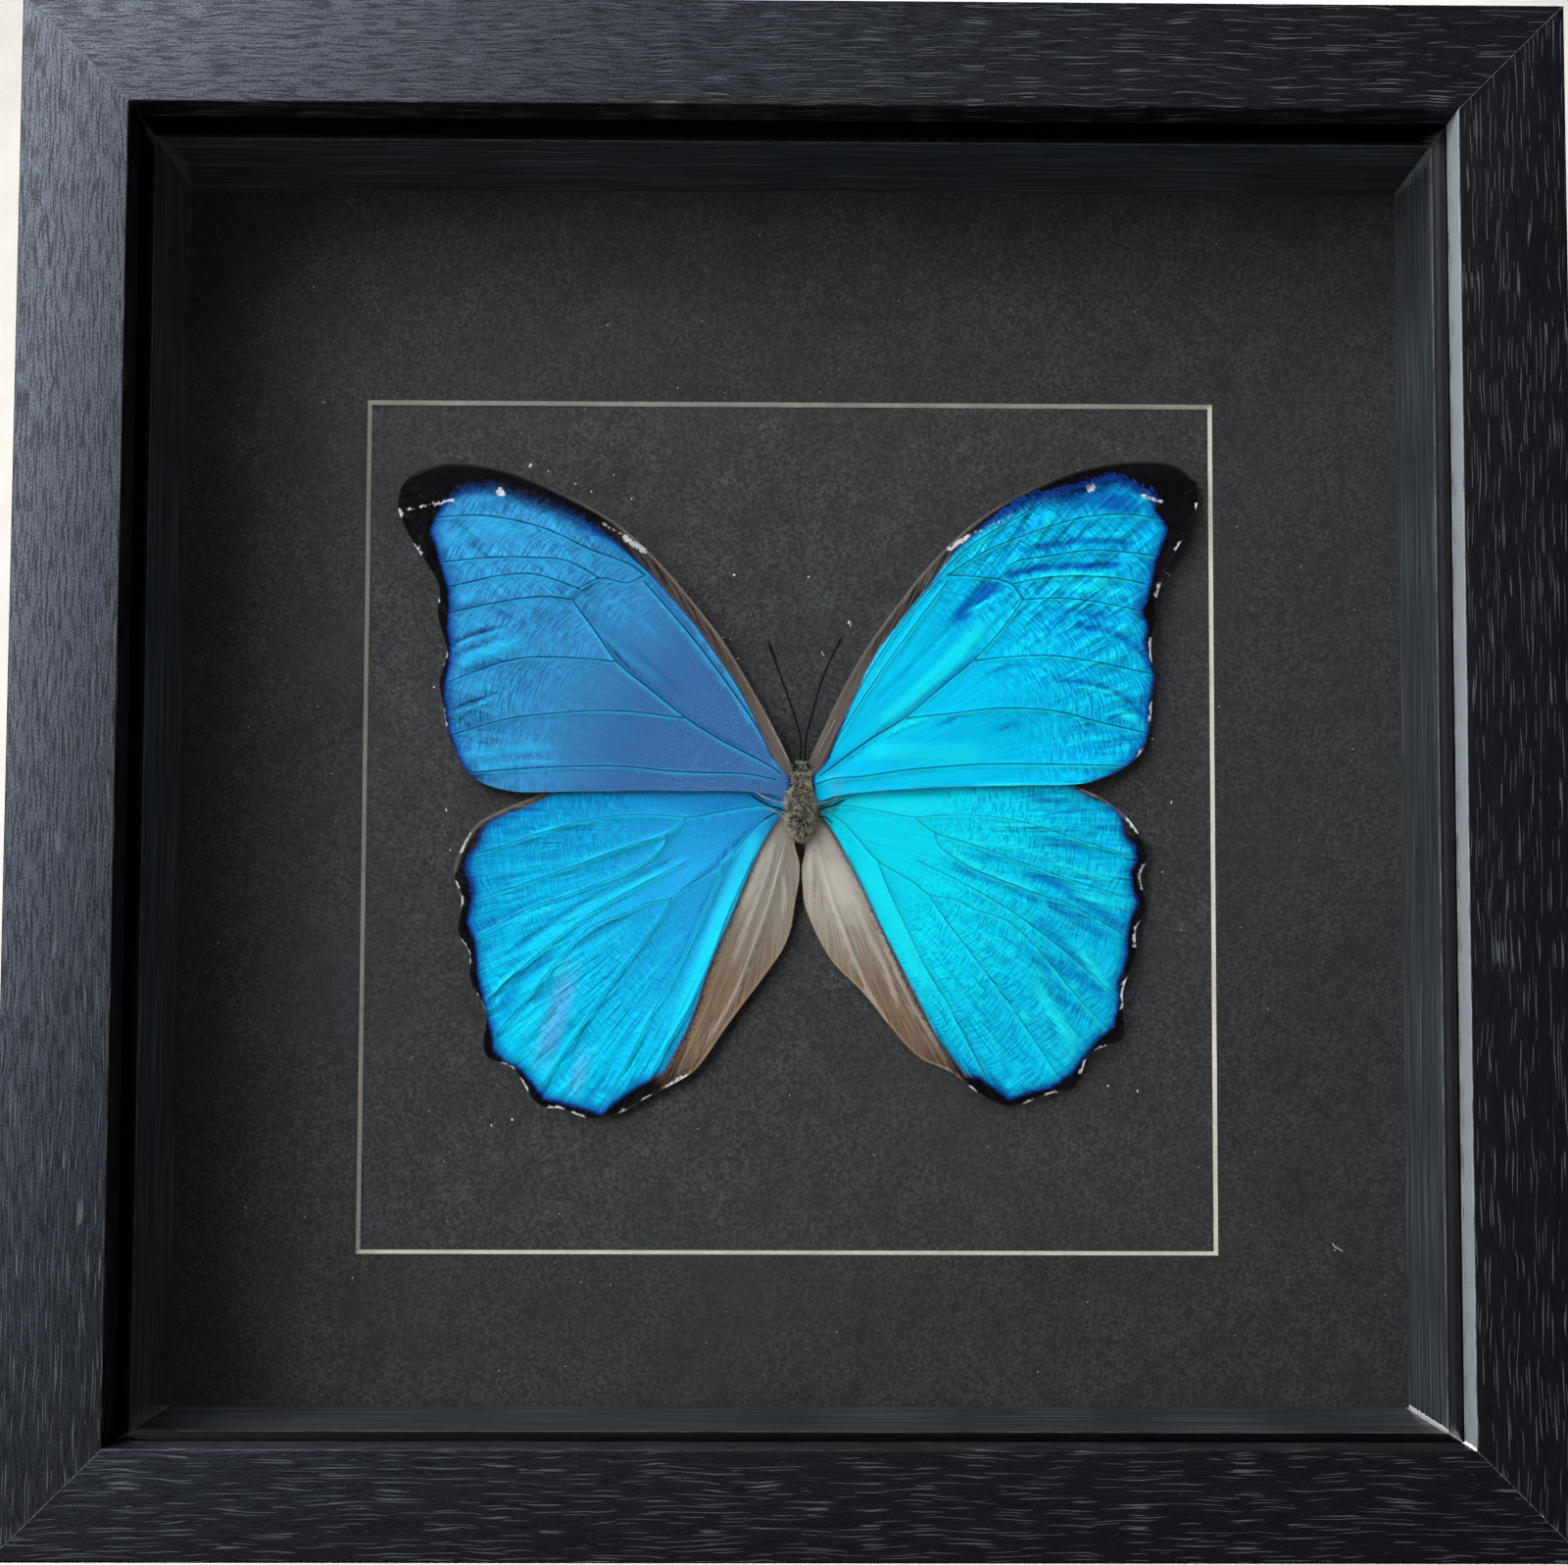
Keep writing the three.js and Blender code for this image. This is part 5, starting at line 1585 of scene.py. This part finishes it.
@dataclass
class Body:
    """Head and thorax: skin, eyes and palps, under a coat of hair."""

    hairs: int = 5200
    hair_length: float = 0.75
    seed: int = 4

    def build(self) -> None:
        """Builds the skin, then the hair on it."""
        hairy = self._lumps("coat_base", [THORAX, COLLAR, HEAD], [Finish.SKIN])
        coat = hair_coat("body_hair", hairy, made(Finish.FUR), count=self.hairs,
                         length=self.hair_length, seed=self.seed)
        lumps = [THORAX, COLLAR, HEAD, *PALPS, *EYES]
        skin = self._lumps("body_skin", lumps, [Finish.SKIN, Finish.CHITIN])
        eyes_from = len(skin.data.polygons) * lumps.index(EYES[0]) // len(lumps)
        for face in skin.data.polygons:
            face.material_index = int(face.index >= eyes_from)
        bpy.data.objects.remove(hairy)
        hand_over(skin, "fur", "body")
        hand_over(coat, "fur")
        self._struts()

    def _struts(self) -> None:
        """Adds the small dark and pale plates that hinge the wings on the thorax, the dark ones
        also painted shade in the notches there.
        """
        vertices: list[Vector] = []
        faces: list[tuple[int, ...]] = []
        for struts in (DARK_PLATES_AND_SHADE, PALE_STRUTS):
            pale_from = len(faces)
            for path, radius in struts:
                centres = [place(x, CARD_FRONT - h, z) for x, z, h in path]
                append_tube(vertices, faces, centres, radius, sides=6)
        piece = mesh_object("wing_root_plates", vertices, faces,
                            [Finish.CHITIN, Finish.SCLERITE], sharp_above=60)
        for face in piece.data.polygons:
            face.material_index = int(face.index >= pale_from)
        hand_over(piece, "fur")

    def _lumps(self, name: str, lumps: list[Lump], finishes: list[Finish]) -> bpy.types.Object:
        """Joins rounded lumps in one mesh, hollowed where the abdomen broke off."""
        rows, columns = 22, 36
        vertices: list[Vector] = []
        faces: list[tuple[int, ...]] = []
        for lump in lumps:
            start = len(vertices)
            for i in range(rows + 1):
                tilt = math.pi * i / rows
                for k in range(columns):
                    turn = 2 * math.pi * k / columns
                    vertices.append(self._skin_point(lump, tilt, turn))
            for i in range(rows):
                for k in range(columns):
                    a = start + i * columns + k
                    b = start + i * columns + (k + 1) % columns
                    faces.append((a, b, b + columns, a + columns))
        return mesh_object(name, vertices, faces, finishes, sharp_above=80)

    def _skin_point(self, lump: Lump, tilt: float, turn: float) -> Vector:
        """One point of a lump, pushed in by the broken waist and cut off at the card."""
        x = lump.at[0] + lump.half[0] * math.sin(tilt) * math.cos(turn)
        z = lump.at[1] + lump.half[1] * math.cos(tilt)
        h = lump.height + lump.half[2] * math.sin(tilt) * math.sin(turn)
        waist = BROKEN_WAIST
        gap = Vector(((x - waist.at[0]) / waist.half[0], (z - waist.at[1]) / waist.half[1],
                      (h - waist.height) / waist.half[2]))
        if gap.length < 1:
            gap = gap.normalized()
            z = max(z, waist.at[1] + abs(gap.y) * waist.half[1])
        return place(x, CARD_FRONT - max(h, GLUE_GAP), z)


def hair_coat(
    name: str,
    base: bpy.types.Object,
    material: bpy.types.Material,
    count: int,
    length: float,
    seed: int,
) -> bpy.types.Object:
    """Grows hairs on a mesh with Geometry Nodes and keeps them as a mesh.

    Args:
        name: The new object's name.
        base: The mesh that they grow on.
        material: Their material.
        count: Hairs in all, about.
        length: Mean length in mm.
        seed: Seed of the scatter.

    Returns:
        The hairs alone, as one mesh object.
    """
    tree = bpy.data.node_groups.new(name, "GeometryNodeTree")
    for label, kind, way in (("Geometry", "Geometry", "INPUT"), ("Density", "Float", "INPUT"),
                             ("Length", "Float", "INPUT"), ("Seed", "Int", "INPUT"),
                             ("Material", "Material", "INPUT"),
                             ("Geometry", "Geometry", "OUTPUT")):
        tree.interface.new_socket(label, in_out=way, socket_type=f"NodeSocket{kind}")
    entry = tree.nodes.new("NodeGroupInput")
    given = {s.name: s for s in entry.outputs}
    tall, pick = given["Length"], given["Seed"]
    points = put(tree, "GeometryNodeDistributePointsOnFaces",
                 {"Mesh": given["Geometry"], "Density": given["Density"], "Seed": pick},
                 out="Points")
    normal = points.node.outputs["Normal"]
    # A hair is 0.02 mm wide, too fine to show, so tufts 0.1 mm wide stand in for hairs.
    blade = put(tree, "GeometryNodeMeshCone",
                {"Vertices": 4, "Side Segments": 4, "Radius Bottom": 0.05 * MM,
                 "Radius Top": 0.012 * MM, "Depth": tall}, fill_type="NONE")
    # Each hair droops: its upper part bends away from its axis.
    spot = put(tree, "GeometryNodeInputPosition")
    bend = put(tree, "ShaderNodeSeparateXYZ", {0: spot}, out="Z")
    for operation, by in (("DIVIDE", tall), ("POWER", 2.0), ("MULTIPLY", tall),
                          ("MULTIPLY", 0.35)):
        bend = put(tree, inputs={0: bend, 1: by}, operation=operation, **MATH)
    shift = put(tree, inputs={0: bend}, **COMBINE)
    blade = put(tree, "GeometryNodeSetPosition", {"Geometry": blade, "Offset": shift})
    # Hairs stick together in tufts, 1 to 2 mm wide, and each strays a little from its own.
    tuft = put(tree, inputs={"Vector": spot, "Scale": 0.8 / MM, "Detail": 1.0},
               **(NOISE | {"out": "Color"}))
    tuft = put(tree, inputs={0: tuft, 1: (3.4, 1.6, 3.4), 2: (-1.7, -0.8, -1.7)},
               operation="MULTIPLY_ADD", **VECTOR)
    stray = put(tree, inputs={0: (-0.3, -0.25, -0.3), 1: (0.3, 0.25, 0.3), "Seed": pick},
                data_type="FLOAT_VECTOR", **RANDOM)
    # The coat lies back along the body and stands up a little towards the viewer.
    comb = normal
    for lean in ((0.0, -0.15, -0.6), tuft, stray):
        comb = put(tree, inputs={0: comb, 1: lean}, operation="ADD", **VECTOR)
    lie = put(tree, "FunctionNodeAlignRotationToVector", {"Vector": comb}, axis="Z")
    spin, size = (put(tree, inputs={2: low, 3: high, "Seed": pick}, out=1,
                      data_type="FLOAT", **RANDOM)
                  for low, high in ((0.0, 2 * math.pi), (0.45, 1.25)))
    roll = put(tree, "FunctionNodeAxisAngleToRotation", {"Axis": (0, 0, 1), "Angle": spin})
    lie = put(tree, "FunctionNodeRotateRotation", {0: lie, 1: roll}, rotation_space="LOCAL")
    coat = put(tree, "GeometryNodeInstanceOnPoints",
               {"Points": points, "Instance": blade, "Rotation": lie, "Scale": size})
    coat = put(tree, "GeometryNodeRealizeInstances", {"Geometry": coat})
    coat = put(tree, "GeometryNodeSetMaterial", {0: coat, "Material": given["Material"]})
    put(tree, "NodeGroupOutput", {0: coat})
    area = sum(f.area for f in base.data.polygons)
    return grown(name, base, tree, {"Density": count / area, "Length": length * MM,
                                    "Seed": seed, "Material": material})


def grown(
    name: str, base: bpy.types.Object, tree: bpy.types.NodeTree, values: dict[str, Any]
) -> bpy.types.Object:
    """Runs a Geometry Nodes tree on a copy of an object and keeps the result as a mesh.

    Args:
        name: The new object's name.
        base: The object to copy.
        tree: The Geometry Nodes tree.
        values: The tree's inputs by name.

    Returns:
        The result as an object of its own.
    """
    carrier = bpy.data.objects.new(f"{name}_carrier", base.data.copy())
    bpy.context.scene.collection.objects.link(carrier)
    modifier = carrier.modifiers.new(name, "NODES")
    modifier.node_group = tree
    for item in tree.interface.items_tree:
        if item.in_out == "INPUT" and item.name in values:
            modifier[item.identifier] = values[item.name]
    carrier.update_tag()
    view = bpy.context.evaluated_depsgraph_get()
    mesh = bpy.data.meshes.new_from_object(carrier.evaluated_get(view))
    carrier.modifiers.clear()
    bpy.data.objects.remove(carrier)
    mesh.name = name
    mesh.shade_smooth()
    thing = bpy.data.objects.new(name, mesh)
    bpy.context.scene.collection.objects.link(thing)
    return thing


@dataclass
class Antennae:
    """Two thin, clubbed antennae: (across, up, height above the card) along each.

    shaft is the shaft's radius in mm, club how much thicker the club is.
    """

    paths: dict[str, list[Point3]] = field(default_factory=lambda: {
        "left": [(1.3, 4.7, 4.1), (1.4, 8, 4.4), (0.6, 11.4, 4.6), (-0.5, 14.8, 4.7),
                 (-2.2, 19.5, 4.7), (-4.3, 25.6, 4.5)],
        "right": [(2, 4.7, 4.1), (2.3, 8.7, 4.4), (3.4, 13.1, 4.6), (4.9, 18.3, 4.7),
                  (6.6, 22.6, 4.7), (8.6, 26.5, 4.5)],
    })

    shaft: float = 0.22
    club: float = 0.1

    def build(self) -> None:
        """Builds each antenna in place of its CAD node."""
        for side, path in self.paths.items():
            flat = smooth_path([p[:2] for p in path], 0.35)
            knots = [p[1] for p in path]
            lift = np.interp(flat[:, 1], knots, [p[2] for p in path])
            centres = [place(x, CARD_FRONT - h, z) for (x, z), h in zip(flat, lift)]
            vertices, faces = swept_tube(centres, self._radius, 10)
            piece = mesh_object(f"antenna_{side}_segmented", vertices, faces, [Finish.CHITIN],
                                sharp_above=60)
            hand_over(piece, "antenna", f"antenna_{side}")

    def _radius(self, share: float) -> float:
        """Radius along an antenna: a thin segmented shaft, then a slender club."""
        grown_club = max(0.0, min(1.0, (share - 0.82) / 0.08))
        tip = 1.0 if share < 0.97 else 0.6
        segment = 1 + 0.12 * math.sin(share * 140)
        return (self.shaft + self.club * grown_club) * segment * tip * MM


@dataclass
class Dust:
    """Specks and short fibres of lint lying on the card and the mat."""

    specks: list[Point3] = field(default_factory=lambda: [
        (-47.0, 58.2, 0.28), (-43.8, 57.2, 0.13), (-38.9, 54.9, 0.14), (-36.1, 53.5, 0.12),
        (-32.1, 56.5, 0.13), (-28.9, 52.3, 0.16), (-10.6, 38.6, 0.26), (2.7, 38.3, 0.16),
        (9.9, 30.2, 0.2), (-12.5, 27.4, 0.13), (-9.8, 23.6, 0.14), (-61.3, -3.7, 0.16),
        (-60.5, -10.8, 0.13), (-63.7, 18.2, 0.17), (-49.1, -58.2, 0.2), (-52.7, -59.2, 0.16),
        (63.9, 9.5, 0.17), (67.2, -1.8, 0.15), (65.5, -14.2, 0.15), (55.7, -52.0, 0.18),
        (60.9, -52.9, 0.2),
    ])
    fibres: list[tuple[float, float, float, float]] = field(default_factory=lambda: [
        (-33.4, 48.3, -31.2, 46.9), (5.0, 24.8, 5.6, 24.2), (10.0, 30.1, 10.3, 29.4),
        (66.0, 39.3, 67.4, 38.8), (94.9, -79.2, 96.2, -80.9),
    ])
    finer: int = 170
    finer_sizes: tuple[float, ...] = (0.05, 0.06, 0.08, 0.1)
    spread: float = 104.0
    seed: int = 11

    def build(self) -> None:
        """Builds the named specks, a scatter of finer ones and the fibres, as one mesh."""
        rng = random.Random(self.seed)
        vertices: list[Vector] = []
        faces: list[tuple[int, ...]] = []
        spread = self.spread
        spots = self.specks + [
            (rng.uniform(-spread, spread), rng.uniform(-spread, spread),
             rng.choice(self.finer_sizes)) for _ in range(self.finer)]
        for x, z, size in spots:
            self._flake(vertices, faces, x, z, size, self._ground(x, z), rng)
        radius, joints = 0.07, 8
        for x1, z1, x2, z2 in self.fibres:
            depth = self._ground(x1, z1) - 0.09
            centres = []
            for t in (i / joints for i in range(joints + 1)):
                sway = 0.25 * math.sin(t * 4 + x1)
                centres.append(place(x1 + (x2 - x1) * t + sway * (z2 - z1) / 2, depth,
                                     z1 + (z2 - z1) * t - sway * (x2 - x1) / 2))
            append_tube(vertices, faces, centres, radius, sides=5)
        piece = mesh_object("dust_specks", vertices, faces, [Finish.DUST], sharp_above=None)
        hand_over(piece, "card")

    def _ground(self, x: float, z: float) -> float:
        """The depth of the card in the window, and of the mat outside it."""
        left, right, bottom, top = WINDOW
        return CARD_FRONT if left < x < right and bottom < z < top else MAT_FRONT

    def _flake(self, vertices: list[Vector], faces: list[tuple[int, ...]], x: float,
               z: float, size: float, depth: float, rng: random.Random) -> None:
        """Adds one uneven flake, a low six-sided cone.

        Args:
            vertices: The mesh's vertices, which the flake's are added to.
            faces: The mesh's faces, likewise.
            x: Where it lies, in mm across.
            z: Where it lies, in mm up.
            size: Its radius in mm.
            depth: The depth of what it lies on.
            rng: Where its unevenness comes from.
        """
        start = len(vertices)
        vertices.append(place(x, depth - size * 0.7, z))
        turn = rng.uniform(0, math.pi)
        long = rng.uniform(1.0, 1.8)
        for k in range(6):
            angle = k * math.pi / 3
            reach = size * rng.uniform(0.7, 1.2)
            u, v = reach * math.cos(angle) * long, reach * math.sin(angle)
            vertices.append(place(x + u * math.cos(turn) - v * math.sin(turn), depth - 0.01,
                                  z + u * math.sin(turn) + v * math.cos(turn)))
        faces += [(start, start + 1 + k, start + 1 + (k + 1) % 6) for k in range(6)]
        faces.append(tuple(start + 1 + k for k in reversed(range(6))))


# ----------------------------------------------------------------------- the stage
@dataclass
class Studio:
    """Floor, backdrop, lights and camera. None of it belongs to the object.

    softboxes are (place in m, watts), box_size is their width in m. eye is the camera's
    place in mm, aim its pitch, yaw and roll in degrees, shift its lens shift.
    """

    room: str = "#2b2d30"
    box_size: float = 0.5
    softboxes: dict[str, tuple[Point3, float]] = field(default_factory=lambda: {
        "key": ((-0.86, -0.85, 0.9), 32.0),
        "side": ((-1.0, -0.85, 0.34), 26.0),
        "upper": ((-0.55, -0.85, 1.14), 16.0),
        "back": ((0.5, 0.55, 1.3), 16.0),
    })
    eye: Point3 = (-1.065, -271.3, 86.66)
    aim: Point3 = (2.294, 0.361, 0.176)
    lens: float = 36.0
    shift: Point2 = (-0.00766, 0.1033)

    def build(self) -> None:
        """Builds the stage and points the camera."""
        self._floor()
        self._world()
        for name, (at, watts) in self.softboxes.items():
            self._softbox(name, at, watts)
        self._camera()
        bpy.context.scene.view_settings.view_transform = "Standard"

    def _floor(self) -> None:
        """A pale floor that curves up behind the frame."""
        half, height, foot, bend = 3, 2.5, 0.6, 0.4
        profile = [(-half, 0.0), (foot, 0.0)]
        profile += [(foot + bend * math.sin(a), bend - bend * math.cos(a))
                    for a in (math.radians(d) for d in range(10, 91, 10))]
        profile.append((foot + bend, height))
        vertices = [Vector((x, y, z)) for y, z in profile for x in (-half, half)]
        faces = [(2 * i, 2 * i + 1, 2 * i + 3, 2 * i + 2) for i in range(len(profile) - 1)]
        floor = mesh_object("pale_floor", vertices, faces,
                            [Grainy("pale studio paper", "#b3b1ac", "#bbb9b4", scale=0.02,
                                    roughness=0.9, relief=0.0)], sharp_above=60)
        floor.visible_glossy = floor.visible_transmission = False

    def _world(self) -> None:
        """Plain dim room light."""
        world = bpy.data.worlds.new("room")
        world.use_nodes = True
        world.node_tree.nodes["Background"].inputs["Color"].default_value = linear(
            self.room)
        bpy.context.scene.world = world

    def _softbox(self, name: str, at: Point3, watts: float) -> None:
        """A square softbox that faces the middle of the frame."""
        light = bpy.data.lights.new(name, "AREA")
        light.shape = "SQUARE"
        light.size = self.box_size
        light.energy = watts
        thing = bpy.data.objects.new(name, light)
        aim = Vector((0, 0, FRAME_HALF * MM)) - Vector(at)
        thing.rotation_euler = aim.to_track_quat("-Z", "Y").to_euler()
        thing.location = at
        bpy.context.scene.collection.objects.link(thing)

    def _camera(self) -> None:
        """A hand-held view from a little below the middle, framing the whole front."""
        pitch, yaw, roll = (math.radians(angle) for angle in self.aim)
        ahead = Vector((math.sin(yaw) * math.cos(pitch), math.cos(yaw) * math.cos(pitch),
                        math.sin(pitch)))
        right = Vector((math.cos(yaw), -math.sin(yaw), 0))
        up = right.cross(ahead)
        side = right * math.cos(roll) + up * math.sin(roll)
        head = up * math.cos(roll) - right * math.sin(roll)
        matrix = Matrix((side, head, -ahead)).transposed().to_4x4()
        matrix.translation = Vector(self.eye) * MM
        data = bpy.data.cameras.new("view")
        data.sensor_width = 36.0
        data.lens = self.lens
        data.shift_x, data.shift_y = self.shift
        data.clip_start = 0.01
        camera = bpy.data.objects.new("view", data)
        camera.matrix_world = matrix
        bpy.context.scene.collection.objects.link(camera)
        bpy.context.scene.camera = camera


def main() -> None:
    """Builds the object piece by piece."""
    Studio().build()
    MitredStrip("rail", "foil", Finish.FOIL, rail_section(), gap=0.03,
                torn={Side.BOTTOM: (-FAR_OFF, -0.3), Side.RIGHT: (-0.3, -FAR_OFF)},
                lip_tear=0.5,
                # Painted highlight on the lips that face the light, right and bottom.
                lip_highlight={Side.RIGHT: 0.9, Side.BOTTOM: 0.15}).build()
    MitredStrip("spacer", "spacer", Finish.SPACER, spacer_section(), gap=0.12,
                raw_end=Finish.CORE, edged_to=EDGE_SHADE,
                torn={Side.BOTTOM: (-FAR_OFF, 0.35), Side.RIGHT: (0.35, -0.15)}).build()
    WindowMat().build()
    PlainPieces({
        "glass": Finish.GLASS,
        "mount_card": Finish.CARD,
        "back_board": Finish.BOARD,
        "tab_": Finish.STEEL,
        "hanger_": Finish.STEEL,
    }).build(frame["nodes"])
    for wing in WINGS:
        wing.build()
    Body().build()
    Antennae().build()
    Dust().build()


if __name__ == "__main__":
    main()
